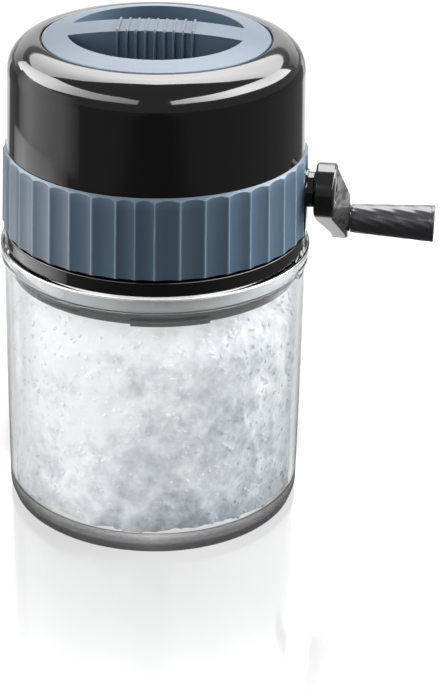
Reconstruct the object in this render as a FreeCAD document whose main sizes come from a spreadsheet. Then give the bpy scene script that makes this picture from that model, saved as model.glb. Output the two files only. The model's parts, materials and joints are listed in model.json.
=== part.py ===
import FreeCAD, Part
import Sketcher
import math
import os
import re

# A hand-cranked ice crusher: a clear jar stands on the table, the black head locks into its mouth, and
# ice cubes go in under the round lid. Turning the crank drives a stack of hooked blades between two
# steel combs, and the crushed ice drops into the jar.
#
# Frame: millimetres, +Z up, the origin in the middle of the jar's underside, +X along the crank's shaft.

doc = FreeCAD.newDocument("ice_crusher")

# ---------------------------------------------------------------------------------------------------
# Driving dimensions
# ---------------------------------------------------------------------------------------------------

SIZES = (
    # clearances
    ("gap", 0.3, "between pieces of different bodies"),
    ("slip", 0.05, "radial, round a shaft in its bush or a piece on its pin"),
    ("seat_play", 0.4, "radial, between two plastic pieces that locate each other"),
    # jar
    ("jar_height", 110.3, "table to the top of the rim"),
    ("jar_radius", 59.6, "outer radius of the jar just under its rim"),
    ("jar_taper", 0.4, "how much narrower the jar is just over its foot"),
    ("jar_foot_inset", 1.4, "how far the foot draws in at the table"),
    ("jar_foot_rise", 4.0, "height at which the foot's flare meets the wall"),
    ("jar_rim_proud", 1.1, "how far the rim's bead stands out"),
    ("jar_rim_height", 5.6, "height of the bead"),
    ("jar_mouth_wall", 2.4, "wall thickness at the mouth, without the bead"),
    ("jar_wall", 2.4, "wall thickness near the floor"),
    ("jar_floor", 7.5, "thickness of the clear floor"),
    ("jar_lug_reach", 1.5, "how far a lug stands into the mouth"),
    ("jar_lug_height", 2.2, "height of a lug"),
    ("jar_lug_arc", 20.0, "degrees that a lug covers"),
    ("lug_count", 3, "lugs round the mouth, and round the lid"),
    ("foot_notch_count", 12, "small notches round the foot"),
    ("foot_notch_width", 0.9, "width of a notch"),
    ("foot_notch_height", 2.4, "height of a notch over the table"),
    ("foot_notch_depth", 0.5, "depth of a notch behind the foot's edge"),
    ("mark_angle", -78.7, "direction of the alignment ribs, in degrees from the crank"),
    ("mark_rib_arc", 0.8, "degrees that an alignment rib covers"),
    ("mark_rib_spread", 3.4, "degrees between the two alignment ribs"),
    ("mark_rib_proud", 0.35, "how far the alignment ribs stand out"),
    ("mark_rib_foot", 0.6, "distance of the alignment ribs from the bead's lower edge"),
    ("mark_rib_head", 1.2, "distance of the alignment ribs from the rim's top"),
    ("bead_slope", 1.0, "height of the slope under the bead"),
    ("mouth_depth", 2.0, "how much deeper than the skirt the straight mouth is"),
    ("rim_round", 0.8, "radius of the rim's outer edge"),
    ("floor_round", 3.0, "radius between the wall and the floor, inside"),
    # head: housing, seal, ring
    ("skirt_drop", 12.3, "depth of the housing's skirt inside the jar"),
    ("skirt_wall", 3.0, "wall of the skirt"),
    ("seal_height", 6.6, "height of the jar seal"),
    ("seal_thick", 2.9, "radial thickness of the jar seal"),
    ("collar_lug_arc", 30.0, "degrees that a lug of the skirt covers"),
    ("collar_lug_height", 2.2, "height of a lug of the skirt"),
    ("collar_lug_turn", 45.0, "degrees from a jar lug to the next skirt lug when the head lifts off"),
    ("flange_inset", 1.8, "how far the black band stays behind the jar's rim"),
    ("flange_height", 5.8, "height of the black band"),
    ("band_step", 2.0, "step from the black band to the housing behind the ring"),
    ("housing_wall", 2.5, "wall of the housing"),
    ("ledge_height", 2.6, "thickness of the ledge that carries the bottom plate"),
    ("housing_height", 32.8, "height of the housing over the black band"),
    ("ring_rise", 1.1, "gap between the black band and the ring"),
    ("ring_thick", 3.1, "thickness of the ring at the ridges of its lower edge"),
    ("ring_taper", 1.0, "how much narrower the ring is under its lip"),
    ("ring_lip", 1.7, "height of the sloping lip"),
    ("flute_count", 38, "wide flutes round the ring"),
    ("flute_pitch", 9.113, "degrees between two wide flutes"),
    ("narrow_pitch", 6.85, "degrees between the two narrow flutes at the front"),
    ("ring_turn", 91.85, "degrees from the front pair of flutes to the crank's side"),
    ("flute_radius", 20.0, "radius of a wide flute's hollow"),
    ("narrow_flute_radius", 11.0, "radius of a narrow flute's hollow"),
    ("flute_depth", 1.0, "depth of a flute"),
    ("flute_margin", 4.0, "how far a flute's cut runs past the ring's edges"),
    ("pillar_width", 16.0, "width of the housing's pillar in the ring's slot"),
    ("pillar_inset", 0.6, "how far the pillar's face stays behind the ridges"),
    ("boss_radius", 7.4, "radius of the round boss round the shaft"),
    ("boss_proud", 2.5, "how far the boss stands out of the pillar"),
    ("boss_depth", 4.4, "how far the boss reaches inside the housing's wall"),
    ("inner_boss_radius", 9.0, "radius of the boss inside the wall"),
    ("screw_inset", 5.2, "distance of the housing screws from the wall"),
    ("screw_radius", 1.5, "shank radius of the housing screws"),
    ("screw_head_radius", 3.0, "head radius of the housing screws"),
    ("screw_head_height", 2.0, "head height of the housing screws"),
    ("screw_angle", 45.0, "direction of the first housing screw"),
    ("screw_bite", 9.0, "length of thread in the hood's bosses"),
    ("screw_boss_radius", 5.6, "radius of the bosses for those screws"),
    ("screw_lug_height", 3.0, "thickness of the housing's screw lugs"),
    # hood
    ("hood_overhang", 0.45, "how far the hood's lower edge stands over the housing"),
    ("hood_draft", 1.25, "how much the hood's side leans in"),
    ("hood_height", 40.7, "height of the hood where its side would meet the top"),
    ("hood_round", 11.5, "radius of the shoulder"),
    ("hood_inner_round", 6.0, "radius under the shoulder, inside"),
    ("hood_wall", 2.6, "wall of the hood"),
    ("hood_crown", 1.2, "rise of the hood's top to the lid's seam"),
    ("hood_top_width", 12.4, "width of the hood's top round the lid's recess"),
    ("lid_seat_width", 3.7, "width of the seat under the lid's edge"),
    ("neck_wall", 2.4, "wall of the neck"),
    ("neck_drop", 7.1, "depth of the neck under the lid's seat"),
    ("seat_depth", 3.5, "depth of the lid's seat under the seam"),
    ("gate_arc", 20.0, "degrees that a gate in the neck covers"),
    ("hood_boss_height", 13.5, "height of the screw bosses in the hood"),
    # crushing chamber
    ("plate_radius_play", 0.3, "radial play of the chamber and plate in the housing"),
    ("chamber_flange", 2.5, "thickness of the chamber's flange and floor"),
    ("dish_margin", 1.1, "distance of the dish from the screw bosses"),
    ("dish_slope", 4.5, "width of the dish's sloping wall"),
    ("dish_depth", 3.4, "depth of the dish under its flange"),
    ("throat_longer", 3.6, "how much longer than the housing's inner radius the throat is"),
    ("throat_narrower", 4.4, "how much narrower than the housing's inner radius the throat is"),
    ("throat_wall", 2.5, "wall of the throat"),
    ("throat_rise", 1.4, "height of the throat's lower edge over the jar's rim"),
    ("throat_bead", 2.0, "rib round the throat that holds the bottom plate down"),
    ("plate_thick", 2.4, "thickness of the bottom plate"),
    ("access_radius", 3.4, "radius of the screwdriver holes in the bottom plate"),
    # combs
    ("comb_thick", 2.0, "sheet thickness of a comb"),
    ("comb_drop", 3.0, "depth of a comb's fingers under the shaft's middle"),
    ("comb_side", 2.0, "distance of a comb's ends from the throat's walls"),
    ("comb_finger_width", 3.6, "width of a finger"),
    ("comb_tip_width", 1.8, "width of a finger's tip"),
    ("comb_tip_length", 2.4, "length of the finger's narrowing tip"),
    ("comb_reach", 8.2, "distance of the finger tips from the shaft's middle"),
    ("comb_pad", 3.0, "thickness of the pad between throat and comb"),
    ("comb_flange_height", 11.0, "height of the comb's upright flange"),
    ("comb_screw_pitch", 36.0, "distance between a comb's two screws"),
    ("comb_screw_rise", 3.0, "height of the comb screws over the shaft's middle"),
    ("comb_screw_radius", 1.5, "shank radius of the comb screws"),
    ("comb_screw_head", 2.8, "head radius of the comb screws"),
    ("comb_screw_head_height", 1.6, "head height of the comb screws"),
    # blades and shaft
    ("crank_drop", 15.4, "distance of the shaft under the hood's lower edge"),
    ("blade_pitch", 8.0, "distance between two blades"),
    ("blade_thick", 2.0, "sheet thickness of a blade"),
    ("blade_hub_radius", 8.5, "radius of a blade's round middle"),
    ("blade_tooth_count", 3, "hooked teeth on a blade"),
    ("tooth_root", 6.5, "half the width of a tooth at its root"),
    ("tooth_root_height", 4.5, "distance of the root line from the middle"),
    ("tooth_tip_lean", 5.0, "how far the hook's tip leans over"),
    ("tooth_tip_height", 20.9, "distance of the tip from the root's base line"),
    ("tooth_back_radius", 14.0, "radius of a tooth's rounded back"),
    ("tooth_hook_radius", 10.5, "radius of the hollow under the hook"),
    ("blade_twist", 17.0, "degrees from one blade to the next"),
    ("hex_flats", 8.0, "shaft's hexagon across the flats"),
    ("spacer_radius", 6.5, "outer radius of the spacers"),
    ("end_play", 0.3, "play between the blade stack and the throat's walls"),
    ("end_journal", 3.5, "radius of the shaft in the end bush"),
    ("drive_journal", 5.0, "radius of the shaft on the crank side"),
    ("end_bush_radius", 5.5, "outer radius of the end bush"),
    ("inner_bush_radius", 7.4, "outer radius of the inner bush"),
    ("outer_bush_radius", 6.2, "outer radius of the bush in the boss"),
    ("bush_flange", 1.5, "thickness of a bush's flange"),
    ("bush_flange_reach", 2.0, "how far the flange stands out"),
    ("clip_thick", 1.0, "thickness of the retaining clip"),
    ("clip_radius", 5.0, "outer radius of the retaining clip"),
    ("clip_groove", 0.5, "depth of the clip's groove"),
    ("clip_mouth", 2.4, "opening of the clip"),
    ("shaft_tail", 1.0, "end of the shaft beyond the clip"),
    ("drive_square", 7.0, "side of the square that carries the crank"),
    # crank arm and grip
    ("hub_radius", 10.7, "radius of the crank's hub"),
    ("hub_thick", 7.7, "thickness of the hub"),
    ("arm_length", 46.0, "shaft to grip pin"),
    ("arm_end_radius", 8.3, "radius of the arm's end"),
    ("arm_end_thick", 6.7, "thickness of the arm's end"),
    ("arm_offset", 3.8, "how far the arm leans away from the body"),
    ("arm_angle", 35.2, "degrees that the arm hangs under the level"),
    ("arm_bevel", 0.7, "bevel round the arm's faces"),
    ("hub_flat", 4.0, "where the hub's outer face starts to slope"),
    ("hub_back_flat", 8.0, "where the hub's inner face starts to slope"),
    ("square_depth", 3.4, "depth of the square socket in the hub"),
    ("hub_web", 1.0, "web between the socket and the screw head"),
    ("crank_screw_radius", 1.7, "shank radius of the crank screw"),
    ("crank_screw_head", 3.5, "head radius of the crank screw"),
    ("crank_screw_head_height", 1.8, "head height of the crank screw"),
    ("crank_screw_bite", 10.0, "thread length in the shaft"),
    ("hub_cap_radius", 5.9, "radius of the hub's cap"),
    ("hub_cap_thick", 0.8, "thickness of the hub's cap"),
    ("pin_radius", 2.5, "radius of the grip pin"),
    ("pin_head_radius", 4.1, "radius of the pin's head in the grip"),
    ("pin_head_height", 1.4, "height of that head"),
    ("rivet_radius", 3.6, "radius of the riveted end"),
    ("rivet_height", 0.8, "height of the riveted end"),
    ("grip_washer_thick", 0.6, "thickness of the washer under the grip"),
    ("grip_washer_radius", 5.4, "radius of the washer under the grip"),
    ("grip_length", 31.6, "length of the fluted grip"),
    ("grip_start_radius", 5.8, "radius of the grip at the arm"),
    ("grip_end_radius", 7.4, "radius of the grip at its end"),
    ("grip_flute_count", 10, "twisted flutes round the grip"),
    ("grip_flute_depth", 0.55, "depth of the grip's flutes"),
    ("grip_twist", 150.0, "degrees that the flutes turn along the grip"),
    ("grip_counterbore", 6.0, "depth of the hollow in the grip's end"),
    ("cap_rim_thick", 1.8, "thickness of the end cap's rim"),
    ("cap_spigot", 2.2, "depth of the cap's spigot in the grip"),
    # lid
    ("lid_crown", 4.6, "rise of the lid's top over its edge"),
    ("lid_angle", 4.1, "degrees that the lid's bar is turned from the crank's shaft"),
    ("lid_skin", 3.2, "thickness of the lid's edge"),
    ("bar_depth", 14.5, "depth of the bar's underside under the lid's edge"),
    ("pocket_inset", 6.5, "distance of the finger pockets from the neck's wall"),
    ("bar_foot", 2.0, "distance of the ribs' lower ends from the bar's underside"),
    ("bar_end_play", 0.1, "distance of the bar's round ends from the pockets' wall"),
    ("bar_width", 15.2, "width of the bar between the pockets"),
    ("bar_wall", 2.2, "wall of the hollow bar"),
    ("bar_rib_count", 9, "ribs along the bar"),
    ("bar_rib_pitch", 3.5, "distance between the ribs"),
    ("bar_rib_width", 0.9, "width of a rib"),
    ("bar_rib_proud", 0.7, "how far a rib stands out"),
    ("plug_floor", 1.8, "floor of the lid's plug"),
    ("lid_lug_reach", 1.6, "how far a lug stands out of the plug"),
    ("lid_lug_height", 1.9, "height of a lug of the plug"),
    ("lid_lug_arc", 14.0, "degrees that a lug of the plug covers"),
    ("lid_seal_height", 2.4, "height of the lid seal"),
    ("lid_seal_thick", 1.5, "thickness of the lid seal"),
    ("lid_seal_drop", 2.2, "distance of the lid seal from the plug's upper edge"),
    ("edge_round", 0.4, "radius of the edges at the lid's seam"),
    ("lid_screw_spread", 24.0, "distance between the two lid screws"),
    ("lid_screw_radius", 1.4, "shank radius of the lid screws"),
    ("lid_screw_head", 2.6, "head radius of the lid screws"),
    ("lid_screw_head_height", 1.6, "head height of the lid screws"),
    ("lid_post_radius", 3.0, "radius of the posts in the hollow bar"),
    ("post_rise", 0.4, "height of the posts' root over the lid's edge"),
    ("lid_screw_bite", 6.0, "thread length in the bar's posts"),
)

sheet = doc.addObject("Spreadsheet::Sheet", "size")
for row, (alias, number, remark) in enumerate(SIZES, start=1):
    sheet.set("A%d" % row, alias)
    sheet.set("B%d" % row, "%g" % number)
    sheet.setAlias("B%d" % row, alias)
    sheet.set("C%d" % row, remark)
doc.recompute()


# Heights, radii and places that follow from the driving dimensions; another one may stand in them
FITS = {
    # jar
    "jar_rim": "size.jar_radius + size.jar_rim_proud",
    "jar_low": "size.jar_radius - size.jar_taper",
    "jar_foot": "fit.jar_low - size.jar_foot_inset",
    "jar_inside": "fit.jar_low - size.jar_wall",
    "jar_bore": "size.jar_radius - size.jar_mouth_wall",
    "rim_base": "size.jar_height - size.jar_rim_height",
    # housing, from the jar's rim upwards
    "collar_base": "size.jar_height + size.gap",
    "skirt_base": "size.jar_height - size.skirt_drop",
    "skirt": "fit.jar_bore - size.jar_lug_reach - size.seat_play",
    "skirt_bore": "fit.skirt - size.skirt_wall",
    "seal_base": "size.jar_height - size.seal_height",
    "seal_outer": "fit.jar_bore - size.gap",
    "seal_inner": "fit.seal_outer - size.seal_thick",
    "collar_lug_top": "fit.skirt_base + size.collar_lug_height",
    "jar_lug_base": "fit.collar_lug_top + size.gap",
    "band": "fit.jar_rim - size.flange_inset",
    "band_top": "fit.collar_base + size.flange_height",
    "housing": "fit.band - size.band_step",
    "housing_bore": "fit.housing - size.housing_wall",
    "plate_base": "fit.collar_base + size.ledge_height",
    "plate": "fit.housing_bore - size.plate_radius_play",
    "hood_base": "fit.band_top + size.housing_height",
    "flange_top": "fit.hood_base + 0.5 * size.chamber_flange",
    "flange_base": "fit.hood_base - 0.5 * size.chamber_flange",
    "lug_base": "fit.flange_base - size.screw_lug_height",
    "screw_base": "fit.lug_base - size.screw_head_height",
    "screw_circle": "fit.housing_bore - size.screw_inset",
    # ring and boss
    "ring": "fit.housing + size.ring_thick",
    "ring_top": "fit.ring - size.ring_taper",
    "ring_base": "fit.band_top + size.ring_rise",
    "ring_end": "fit.hood_base - 0.5 * size.gap",
    "ring_lean": "atan(size.ring_taper / (fit.ring_end - size.ring_lip - fit.ring_base))",
    "crank_height": "fit.hood_base - size.crank_drop",
    "pillar_face": "fit.ring - size.pillar_inset",
    "pillar_root": "fit.housing - 0.6 * size.housing_wall",
    "boss_root": "fit.housing_bore - size.boss_depth",
    "boss_end": "fit.pillar_face + size.boss_proud",
    # hood
    "hood_edge": "fit.housing + size.hood_overhang",
    "hood_shoulder": "fit.hood_edge - size.hood_draft",
    "hood_top": "fit.hood_base + size.hood_height",
    "lid_rise": "fit.hood_top + size.hood_crown",
    "seam": "fit.hood_shoulder - size.hood_top_width",
    "neck_bore": "fit.seam - size.lid_seat_width",
    "lid_seat": "fit.lid_rise - size.seat_depth",
    "neck_base": "fit.lid_seat - size.neck_drop",
    # chamber and combs
    "dish": "fit.screw_circle - size.screw_boss_radius - size.dish_margin",
    "dish_middle": "fit.dish - size.dish_slope",
    "dish_floor": "fit.flange_top - size.dish_depth",
    "throat_half": "0.5 * (fit.housing_bore + size.throat_longer)",
    "throat_side": "0.5 * (fit.housing_bore - size.throat_narrower)",
    "throat_out": "fit.throat_half + size.throat_wall",
    "throat_side_out": "fit.throat_side + size.throat_wall",
    "throat_base": "size.jar_height + size.gap + size.throat_rise",
    "comb_half": "fit.throat_half - size.comb_side",
    "comb_middle": "fit.crank_height - size.comb_drop - 0.5 * size.comb_thick",
    "comb_face": "fit.throat_side_out + size.comb_pad",
    "comb_outside": "fit.comb_face + size.comb_thick",
    "comb_spine": "fit.throat_side - 0.2 * size.comb_thick",
    # shaft and crank
    "hex_corner": "size.hex_flats / sqrt(3)",
    "stack_end": "fit.throat_half - size.end_play",
    "clip_face": "fit.throat_out + size.bush_flange + 0.5 * size.gap",
    "hub_face": "fit.boss_end + size.gap",
    "hub_outer": "fit.hub_face + size.hub_thick",
    "arm_outer": "fit.hub_outer + size.arm_offset",
    "arm_inner": "fit.arm_outer - size.arm_end_thick",
    "screw_seat": "fit.hub_face + size.square_depth + size.hub_web",
    "grip_start": "fit.arm_outer + size.grip_washer_thick + size.gap",
    "grip_end": "fit.grip_start + size.grip_length",
    "grip_hollow": "size.pin_head_radius + size.gap",
    # lid
    "lid_edge": "fit.seam - 2 * size.gap",
    "lid_base": "fit.lid_rise - size.lid_skin",
    "lid_top": "fit.lid_rise + size.lid_crown",
    "lid_dome": "(fit.lid_edge^2 + size.lid_crown^2) / (2 * size.lid_crown)",
    "pocket": "fit.neck_bore - size.pocket_inset",
    "bar_base": "fit.lid_rise - size.bar_depth",
    "bar_end": "fit.pocket - size.bar_end_play",
    "bar_half": "0.5 * size.bar_width",
    "plug": "fit.neck_bore - 2 * size.gap",
    "plug_base": "fit.bar_base - size.slip - size.plug_floor",
    "plug_floor_top": "fit.plug_base + size.plug_floor",
    "plug_top": "fit.lid_base - size.slip",
    "plug_bore": "fit.pocket + size.seat_play",
    "lid_seal_outer": "fit.neck_bore - 0.5 * size.gap",
    "lid_seal_inner": "fit.lid_seal_outer - size.lid_seal_thick",
    "lid_seal_top": "fit.plug_top - size.lid_seal_drop",
    "lid_seal_base": "fit.lid_seal_top - size.lid_seal_height",
    "post_top": "fit.lid_rise + size.post_rise",
}


def full(expression):
    """The expression with each fit.name written out, down to the sheet's own cells."""
    while "fit." in expression:
        expression = re.sub(r"fit\.(\w+)", lambda found: "(%s)" % FITS[found.group(1)], expression)
    return expression


def value(expression):
    """The number that an expression on the sheet's cells gives."""
    return float(sheet.evalExpression(full(expression)))


def bind(thing, setting, expression):
    """Tie a setting of a document object to the sheet's cells."""
    thing.setExpression(setting, full(expression))

X_AXIS = FreeCAD.Vector(1, 0, 0)
Z_AXIS = FreeCAD.Vector(0, 0, 1)
PIECES = []


# ---------------------------------------------------------------------------------------------------
# Helpers: sketches and features bound to the sheet
# ---------------------------------------------------------------------------------------------------

def piece(name):
    """A new body whose label names its file."""
    body = doc.addObject("PartDesign::Body", name)
    body.Label = name
    PIECES.append(body)
    return body


def place(body, across=None, height=None, axis=None, angle=None):
    """Bind the body's place along X, its height and its turn about an axis."""
    turn = FreeCAD.Rotation(axis or Z_AXIS, value(angle) if angle else 0)
    spot = FreeCAD.Vector(value(across) if across else 0, 0, value(height) if height else 0)
    body.Placement = FreeCAD.Placement(spot, turn)
    if across:
        bind(body, "Placement.Base.x", across)
    if height:
        bind(body, "Placement.Base.z", height)
    if angle:
        bind(body, "Placement.Rotation.Angle", angle)


def origin_part(body, role):
    return [item for item in body.Origin.OriginFeatures if item.Role == role][0]


def sketch(body, plane, name, offset=None):
    """An empty sketch on one of the body's origin planes, or parallel to it at an offset."""
    drawing = body.newObject("Sketcher::SketchObject", body.Name + "_" + name)
    drawing.AttachmentSupport = (origin_part(body, plane), [""])
    drawing.MapMode = "FlatFace"
    if offset:
        drawing.AttachmentOffset = FreeCAD.Placement(
            FreeCAD.Vector(0, 0, value(offset)), FreeCAD.Rotation())
        bind(drawing, "AttachmentOffset.Base.z", offset)
    return drawing


def fix_point(drawing, geometry, vertex, across, up):
    """Tie one vertex of the sketch to a pair of expressions."""
    for kind, line, expression in (("DistanceX", -2, across), ("DistanceY", -1, up)):
        if expression == "0":
            drawing.addConstraint(Sketcher.Constraint("PointOnObject", geometry, vertex, line))
            continue
        number = drawing.addConstraint(
            Sketcher.Constraint(kind, -1, 1, geometry, vertex, value(expression)))
        bind(drawing, "Constraints[%d]" % number, expression)


def arc_between(start, end, radius, turn):
    """A circular arc from start to end; turn is 1 counter-clockwise, -1 clockwise, 2 or -2 the long way."""
    chord = end.sub(start)
    half = 0.5 * chord.Length
    rise = math.sqrt(max(radius * radius - half * half, 0.0))
    left = FreeCAD.Vector(-chord.y, chord.x, 0).normalize()
    side = 1 if turn in (1, -2) else -1
    center = start.add(end).multiply(0.5).add(left.multiply(side * rise))
    first, last = (start, end) if turn > 0 else (end, start)
    begin = math.atan2(first.y - center.y, first.x - center.x)
    finish = math.atan2(last.y - center.y, last.x - center.x)
    if finish <= begin:
        finish += 2 * math.pi
    return Part.ArcOfCircle(Part.Circle(center, Z_AXIS, radius), begin, finish)


def outline(drawing, corners):
    """A closed outline. A corner is (across, up), or (across, up, radius, turn) before an arc."""
    points = [FreeCAD.Vector(value(corner[0]), value(corner[1]), 0) for corner in corners]
    start_of, end_of, numbers = [], [], []
    for index, corner in enumerate(corners):
        start, end = points[index], points[(index + 1) % len(points)]
        if len(corner) == 4:
            number = drawing.addGeometry(arc_between(start, end, value(corner[2]), corner[3]), False)
            turned = corner[3] < 0
        else:
            number = drawing.addGeometry(Part.LineSegment(start, end), False)
            turned = False
        numbers.append(number)
        start_of.append(2 if turned else 1)
        end_of.append(1 if turned else 2)
    for index, corner in enumerate(corners):
        after = (index + 1) % len(corners)
        drawing.addConstraint(Sketcher.Constraint(
            "Coincident", numbers[index], end_of[index], numbers[after], start_of[after]))
        fix_point(drawing, numbers[index], start_of[index], corner[0], corner[1])
        if len(corner) == 4:
            number = drawing.addConstraint(
                Sketcher.Constraint("Radius", numbers[index], value(corner[2])))
            bind(drawing, "Constraints[%d]" % number, corner[2])


def circle(drawing, radius, across="0", up="0"):
    """A full circle with its middle tied to a pair of expressions."""
    center = FreeCAD.Vector(value(across), value(up), 0)
    number = drawing.addGeometry(Part.Circle(center, Z_AXIS, value(radius)), False)
    if across == "0" and up == "0":
        drawing.addConstraint(Sketcher.Constraint("Coincident", number, 3, -1, 1))
    else:
        fix_point(drawing, number, 3, across, up)
    bound = drawing.addConstraint(Sketcher.Constraint("Radius", number, value(radius)))
    bind(drawing, "Constraints[%d]" % bound, radius)


def rectangle(drawing, half_across, half_up, across="0", up="0"):
    """A rectangle with its middle at a pair of expressions."""
    low, high = "(%s - (%s))" % (across, half_across), "(%s + %s)" % (across, half_across)
    base, top = "(%s - (%s))" % (up, half_up), "(%s + %s)" % (up, half_up)
    outline(drawing, ((low, base), (high, base), (high, top), (low, top)))


def feature(body, kind, name, profile, **settings):
    """A PartDesign feature on a profile; text settings are expressions."""
    made = body.newObject("PartDesign::" + kind, body.Name + "_" + name)
    made.Profile = profile
    for key, setting in settings.items():
        if isinstance(setting, str) and key not in ("Type",):
            bind(made, key, setting)
        else:
            setattr(made, key, setting)
    profile.Visibility = False
    return made


def pad(body, name, profile, length, **settings):
    return feature(body, "Pad", name, profile, Length=length, **settings)


def pocket(body, name, profile, length, **settings):
    """A pocket that has to take some material away."""
    doc.recompute()
    before = body.Shape.Volume
    made = feature(body, "Pocket", name, profile, Length=length, **settings)
    doc.recompute()
    if body.Shape.Volume >= before - 1e-6:
        raise RuntimeError("the pocket %s of %s cuts nothing" % (name, body.Label))
    return made


def turned(body, name, profile, axis="V_Axis", **settings):
    made = feature(body, "Revolution", name, profile, **settings)
    made.ReferenceAxis = (profile, [axis])
    if "Angle" not in settings:
        made.Angle = 360
    return made


def groove(body, name, profile, axis="V_Axis", **settings):
    """A groove that has to take some material away."""
    doc.recompute()
    before = body.Shape.Volume
    made = feature(body, "Groove", name, profile, **settings)
    made.ReferenceAxis = (profile, [axis])
    if "Angle" not in settings:
        made.Angle = 360
    doc.recompute()
    if body.Shape.Volume >= before - 1e-6:
        raise RuntimeError("the groove %s of %s cuts nothing" % (name, body.Label))
    return made


def around(body, name, originals, count, role="Z_Axis"):
    """Copies of some features, evenly round an axis."""
    pattern = body.newObject("PartDesign::PolarPattern", body.Name + "_" + name)
    pattern.Originals = originals
    pattern.Axis = (origin_part(body, role), [""])
    pattern.Angle = 360
    bind(pattern, "Occurrences", count)
    body.Tip = pattern
    return pattern


def along(body, name, originals, count, length, role="X_Axis"):
    """Copies of some features, evenly along an axis."""
    pattern = body.newObject("PartDesign::LinearPattern", body.Name + "_" + name)
    pattern.Originals = originals
    pattern.Direction = (origin_part(body, role), [""])
    bind(pattern, "Length", length)
    bind(pattern, "Occurrences", count)
    body.Tip = pattern
    return pattern


def mirrored(body, name, originals, role="XZ_Plane"):
    """A copy of some features on the other side of an origin plane."""
    made = body.newObject("PartDesign::Mirrored", body.Name + "_" + name)
    made.Originals = originals
    made.MirrorPlane = (origin_part(body, role), [""])
    body.Tip = made
    return made


def round_edges(body, name, radius, chosen, kind="Fillet"):
    """Round, or bevel, the edges of the body's solid that the test chooses."""
    doc.recompute()
    base = body.Tip
    names = ["Edge%d" % (number + 1) for number, edge in enumerate(base.Shape.Edges) if chosen(edge)]
    if not names:
        raise RuntimeError("no edge for %s of %s" % (name, body.Label))
    made = body.newObject("PartDesign::" + kind, body.Name + "_" + name)
    made.Base = (base, names)
    bind(made, "Radius" if kind == "Fillet" else "Size", radius)
    body.Tip = made
    return made


def ring_at(radius, height, slack=0.01):
    """A test for a whole circle of an expression's radius at an expression's height."""
    wanted_radius, wanted_height = value(radius), value(height)

    def test(edge):
        if edge.Degenerated:
            return False
        curve = edge.Curve
        return (isinstance(curve, Part.Circle) and abs(curve.Radius - wanted_radius) < slack
                and abs(curve.Center.z - wanted_height) < slack)
    return test


def ring_wall(body, name, plane, inner, outer, start, length, center=("0", "0")):
    """A tube between two radii that starts at a distance along the plane's normal."""
    drawing = sketch(body, plane, name + "_section", start)
    circle(drawing, outer, *center)
    if inner:
        circle(drawing, inner, *center)
    return pad(body, name, drawing, length)


def drilled(body, name, plane, radius, start, depth, center=("0", "0"), **settings):
    """A round hole cut against the plane's normal from a start height."""
    drawing = sketch(body, plane, name + "_section", start)
    circle(drawing, radius, *center)
    return pocket(body, name, drawing, depth, **settings)


def block(body, name, plane, half_across, half_up, start, length, center=("0", "0"), **settings):
    """A rectangular block on a plane."""
    drawing = sketch(body, plane, name + "_section", start)
    rectangle(drawing, half_across, half_up, *center)
    return pad(body, name, drawing, length, **settings)


def sector(body, name, inner, outer, base, top, arc, turn=None):
    """A ring's stretch that covers some degrees, centred on +X or turned from there."""
    drawing = sketch(body, "XZ_Plane", name + "_profile")
    outline(drawing, ((inner, base), (outer, base), (outer, top), (inner, top)))
    if turn:
        upright = FreeCAD.Vector(0, 1, 0)
        drawing.AttachmentOffset = FreeCAD.Placement(
            FreeCAD.Vector(), FreeCAD.Rotation(upright, value(turn)))
        bind(drawing, "AttachmentOffset.Rotation.Angle", turn)
    return drawing, {"Angle": arc, "Midplane": True}


# ---------------------------------------------------------------------------------------------------
# Jar
# ---------------------------------------------------------------------------------------------------

def make_jar():
    """Clear jar: one turned wall with a thick floor, a beaded rim, three lugs and twelve foot notches."""
    body = piece("jar")
    profile = sketch(body, "XZ_Plane", "profile")
    outline(profile, (
        ("0", "0"),
        ("fit.jar_foot", "0"),
        ("fit.jar_low", "size.jar_foot_rise"),
        ("size.jar_radius", "fit.rim_base - size.bead_slope"),
        ("fit.jar_rim", "fit.rim_base"),
        ("fit.jar_rim", "size.jar_height"),
        ("fit.jar_bore", "size.jar_height"),
        ("fit.jar_bore", "fit.skirt_base - size.mouth_depth"),
        ("fit.jar_inside", "size.jar_floor"),
        ("0", "size.jar_floor"),
    ))
    turned(body, "wall", profile)
    drawing, angle = sector(body, "lug", "fit.jar_bore - size.jar_lug_reach", "fit.jar_bore + 0.5",
                            "fit.jar_lug_base", "fit.jar_lug_base + size.jar_lug_height",
                            "size.jar_lug_arc")
    lug = turned(body, "lug", drawing, **angle)
    around(body, "lugs", [lug], "size.lug_count")
    notch = sketch(body, "XY_Plane", "notch_profile")
    rectangle(notch, "2", "0.5 * size.foot_notch_width",
              "fit.jar_foot + 2 - size.foot_notch_depth")
    cut = pocket(body, "notch", notch, "size.foot_notch_height", Reversed=True)
    around(body, "notches", [cut], "size.foot_notch_count")
    for name, side in (("left", "-"), ("right", "+")):
        drawing, angle = sector(body, "mark_" + name, "fit.jar_rim - 0.5",
                                "fit.jar_rim + size.mark_rib_proud",
                                "fit.rim_base + size.mark_rib_foot",
                                "size.jar_height - size.mark_rib_head", "size.mark_rib_arc",
                                "size.mark_angle %s 0.5 * size.mark_rib_spread" % side)
        turned(body, "mark_" + name, drawing, **angle)
    round_edges(body, "rim_round", "size.rim_round", ring_at("fit.jar_rim", "size.jar_height"))
    round_edges(body, "floor_round", "size.floor_round", ring_at("fit.jar_inside", "size.jar_floor"))


def make_jar_seal():
    """Silicone ring in the skirt's groove; it closes the jar's mouth."""
    body = piece("jar_seal")
    ring_wall(body, "ring", "XY_Plane", "fit.seal_inner", "fit.seal_outer", "fit.seal_base",
              "size.seal_height")


# ---------------------------------------------------------------------------------------------------
# Head: housing, ring, hood, chamber, bottom plate
# ---------------------------------------------------------------------------------------------------

SCREW_SPOT = ("fit.screw_circle * cos(size.screw_angle)", "fit.screw_circle * sin(size.screw_angle)")
SCREW_COUNT = "4"


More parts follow.
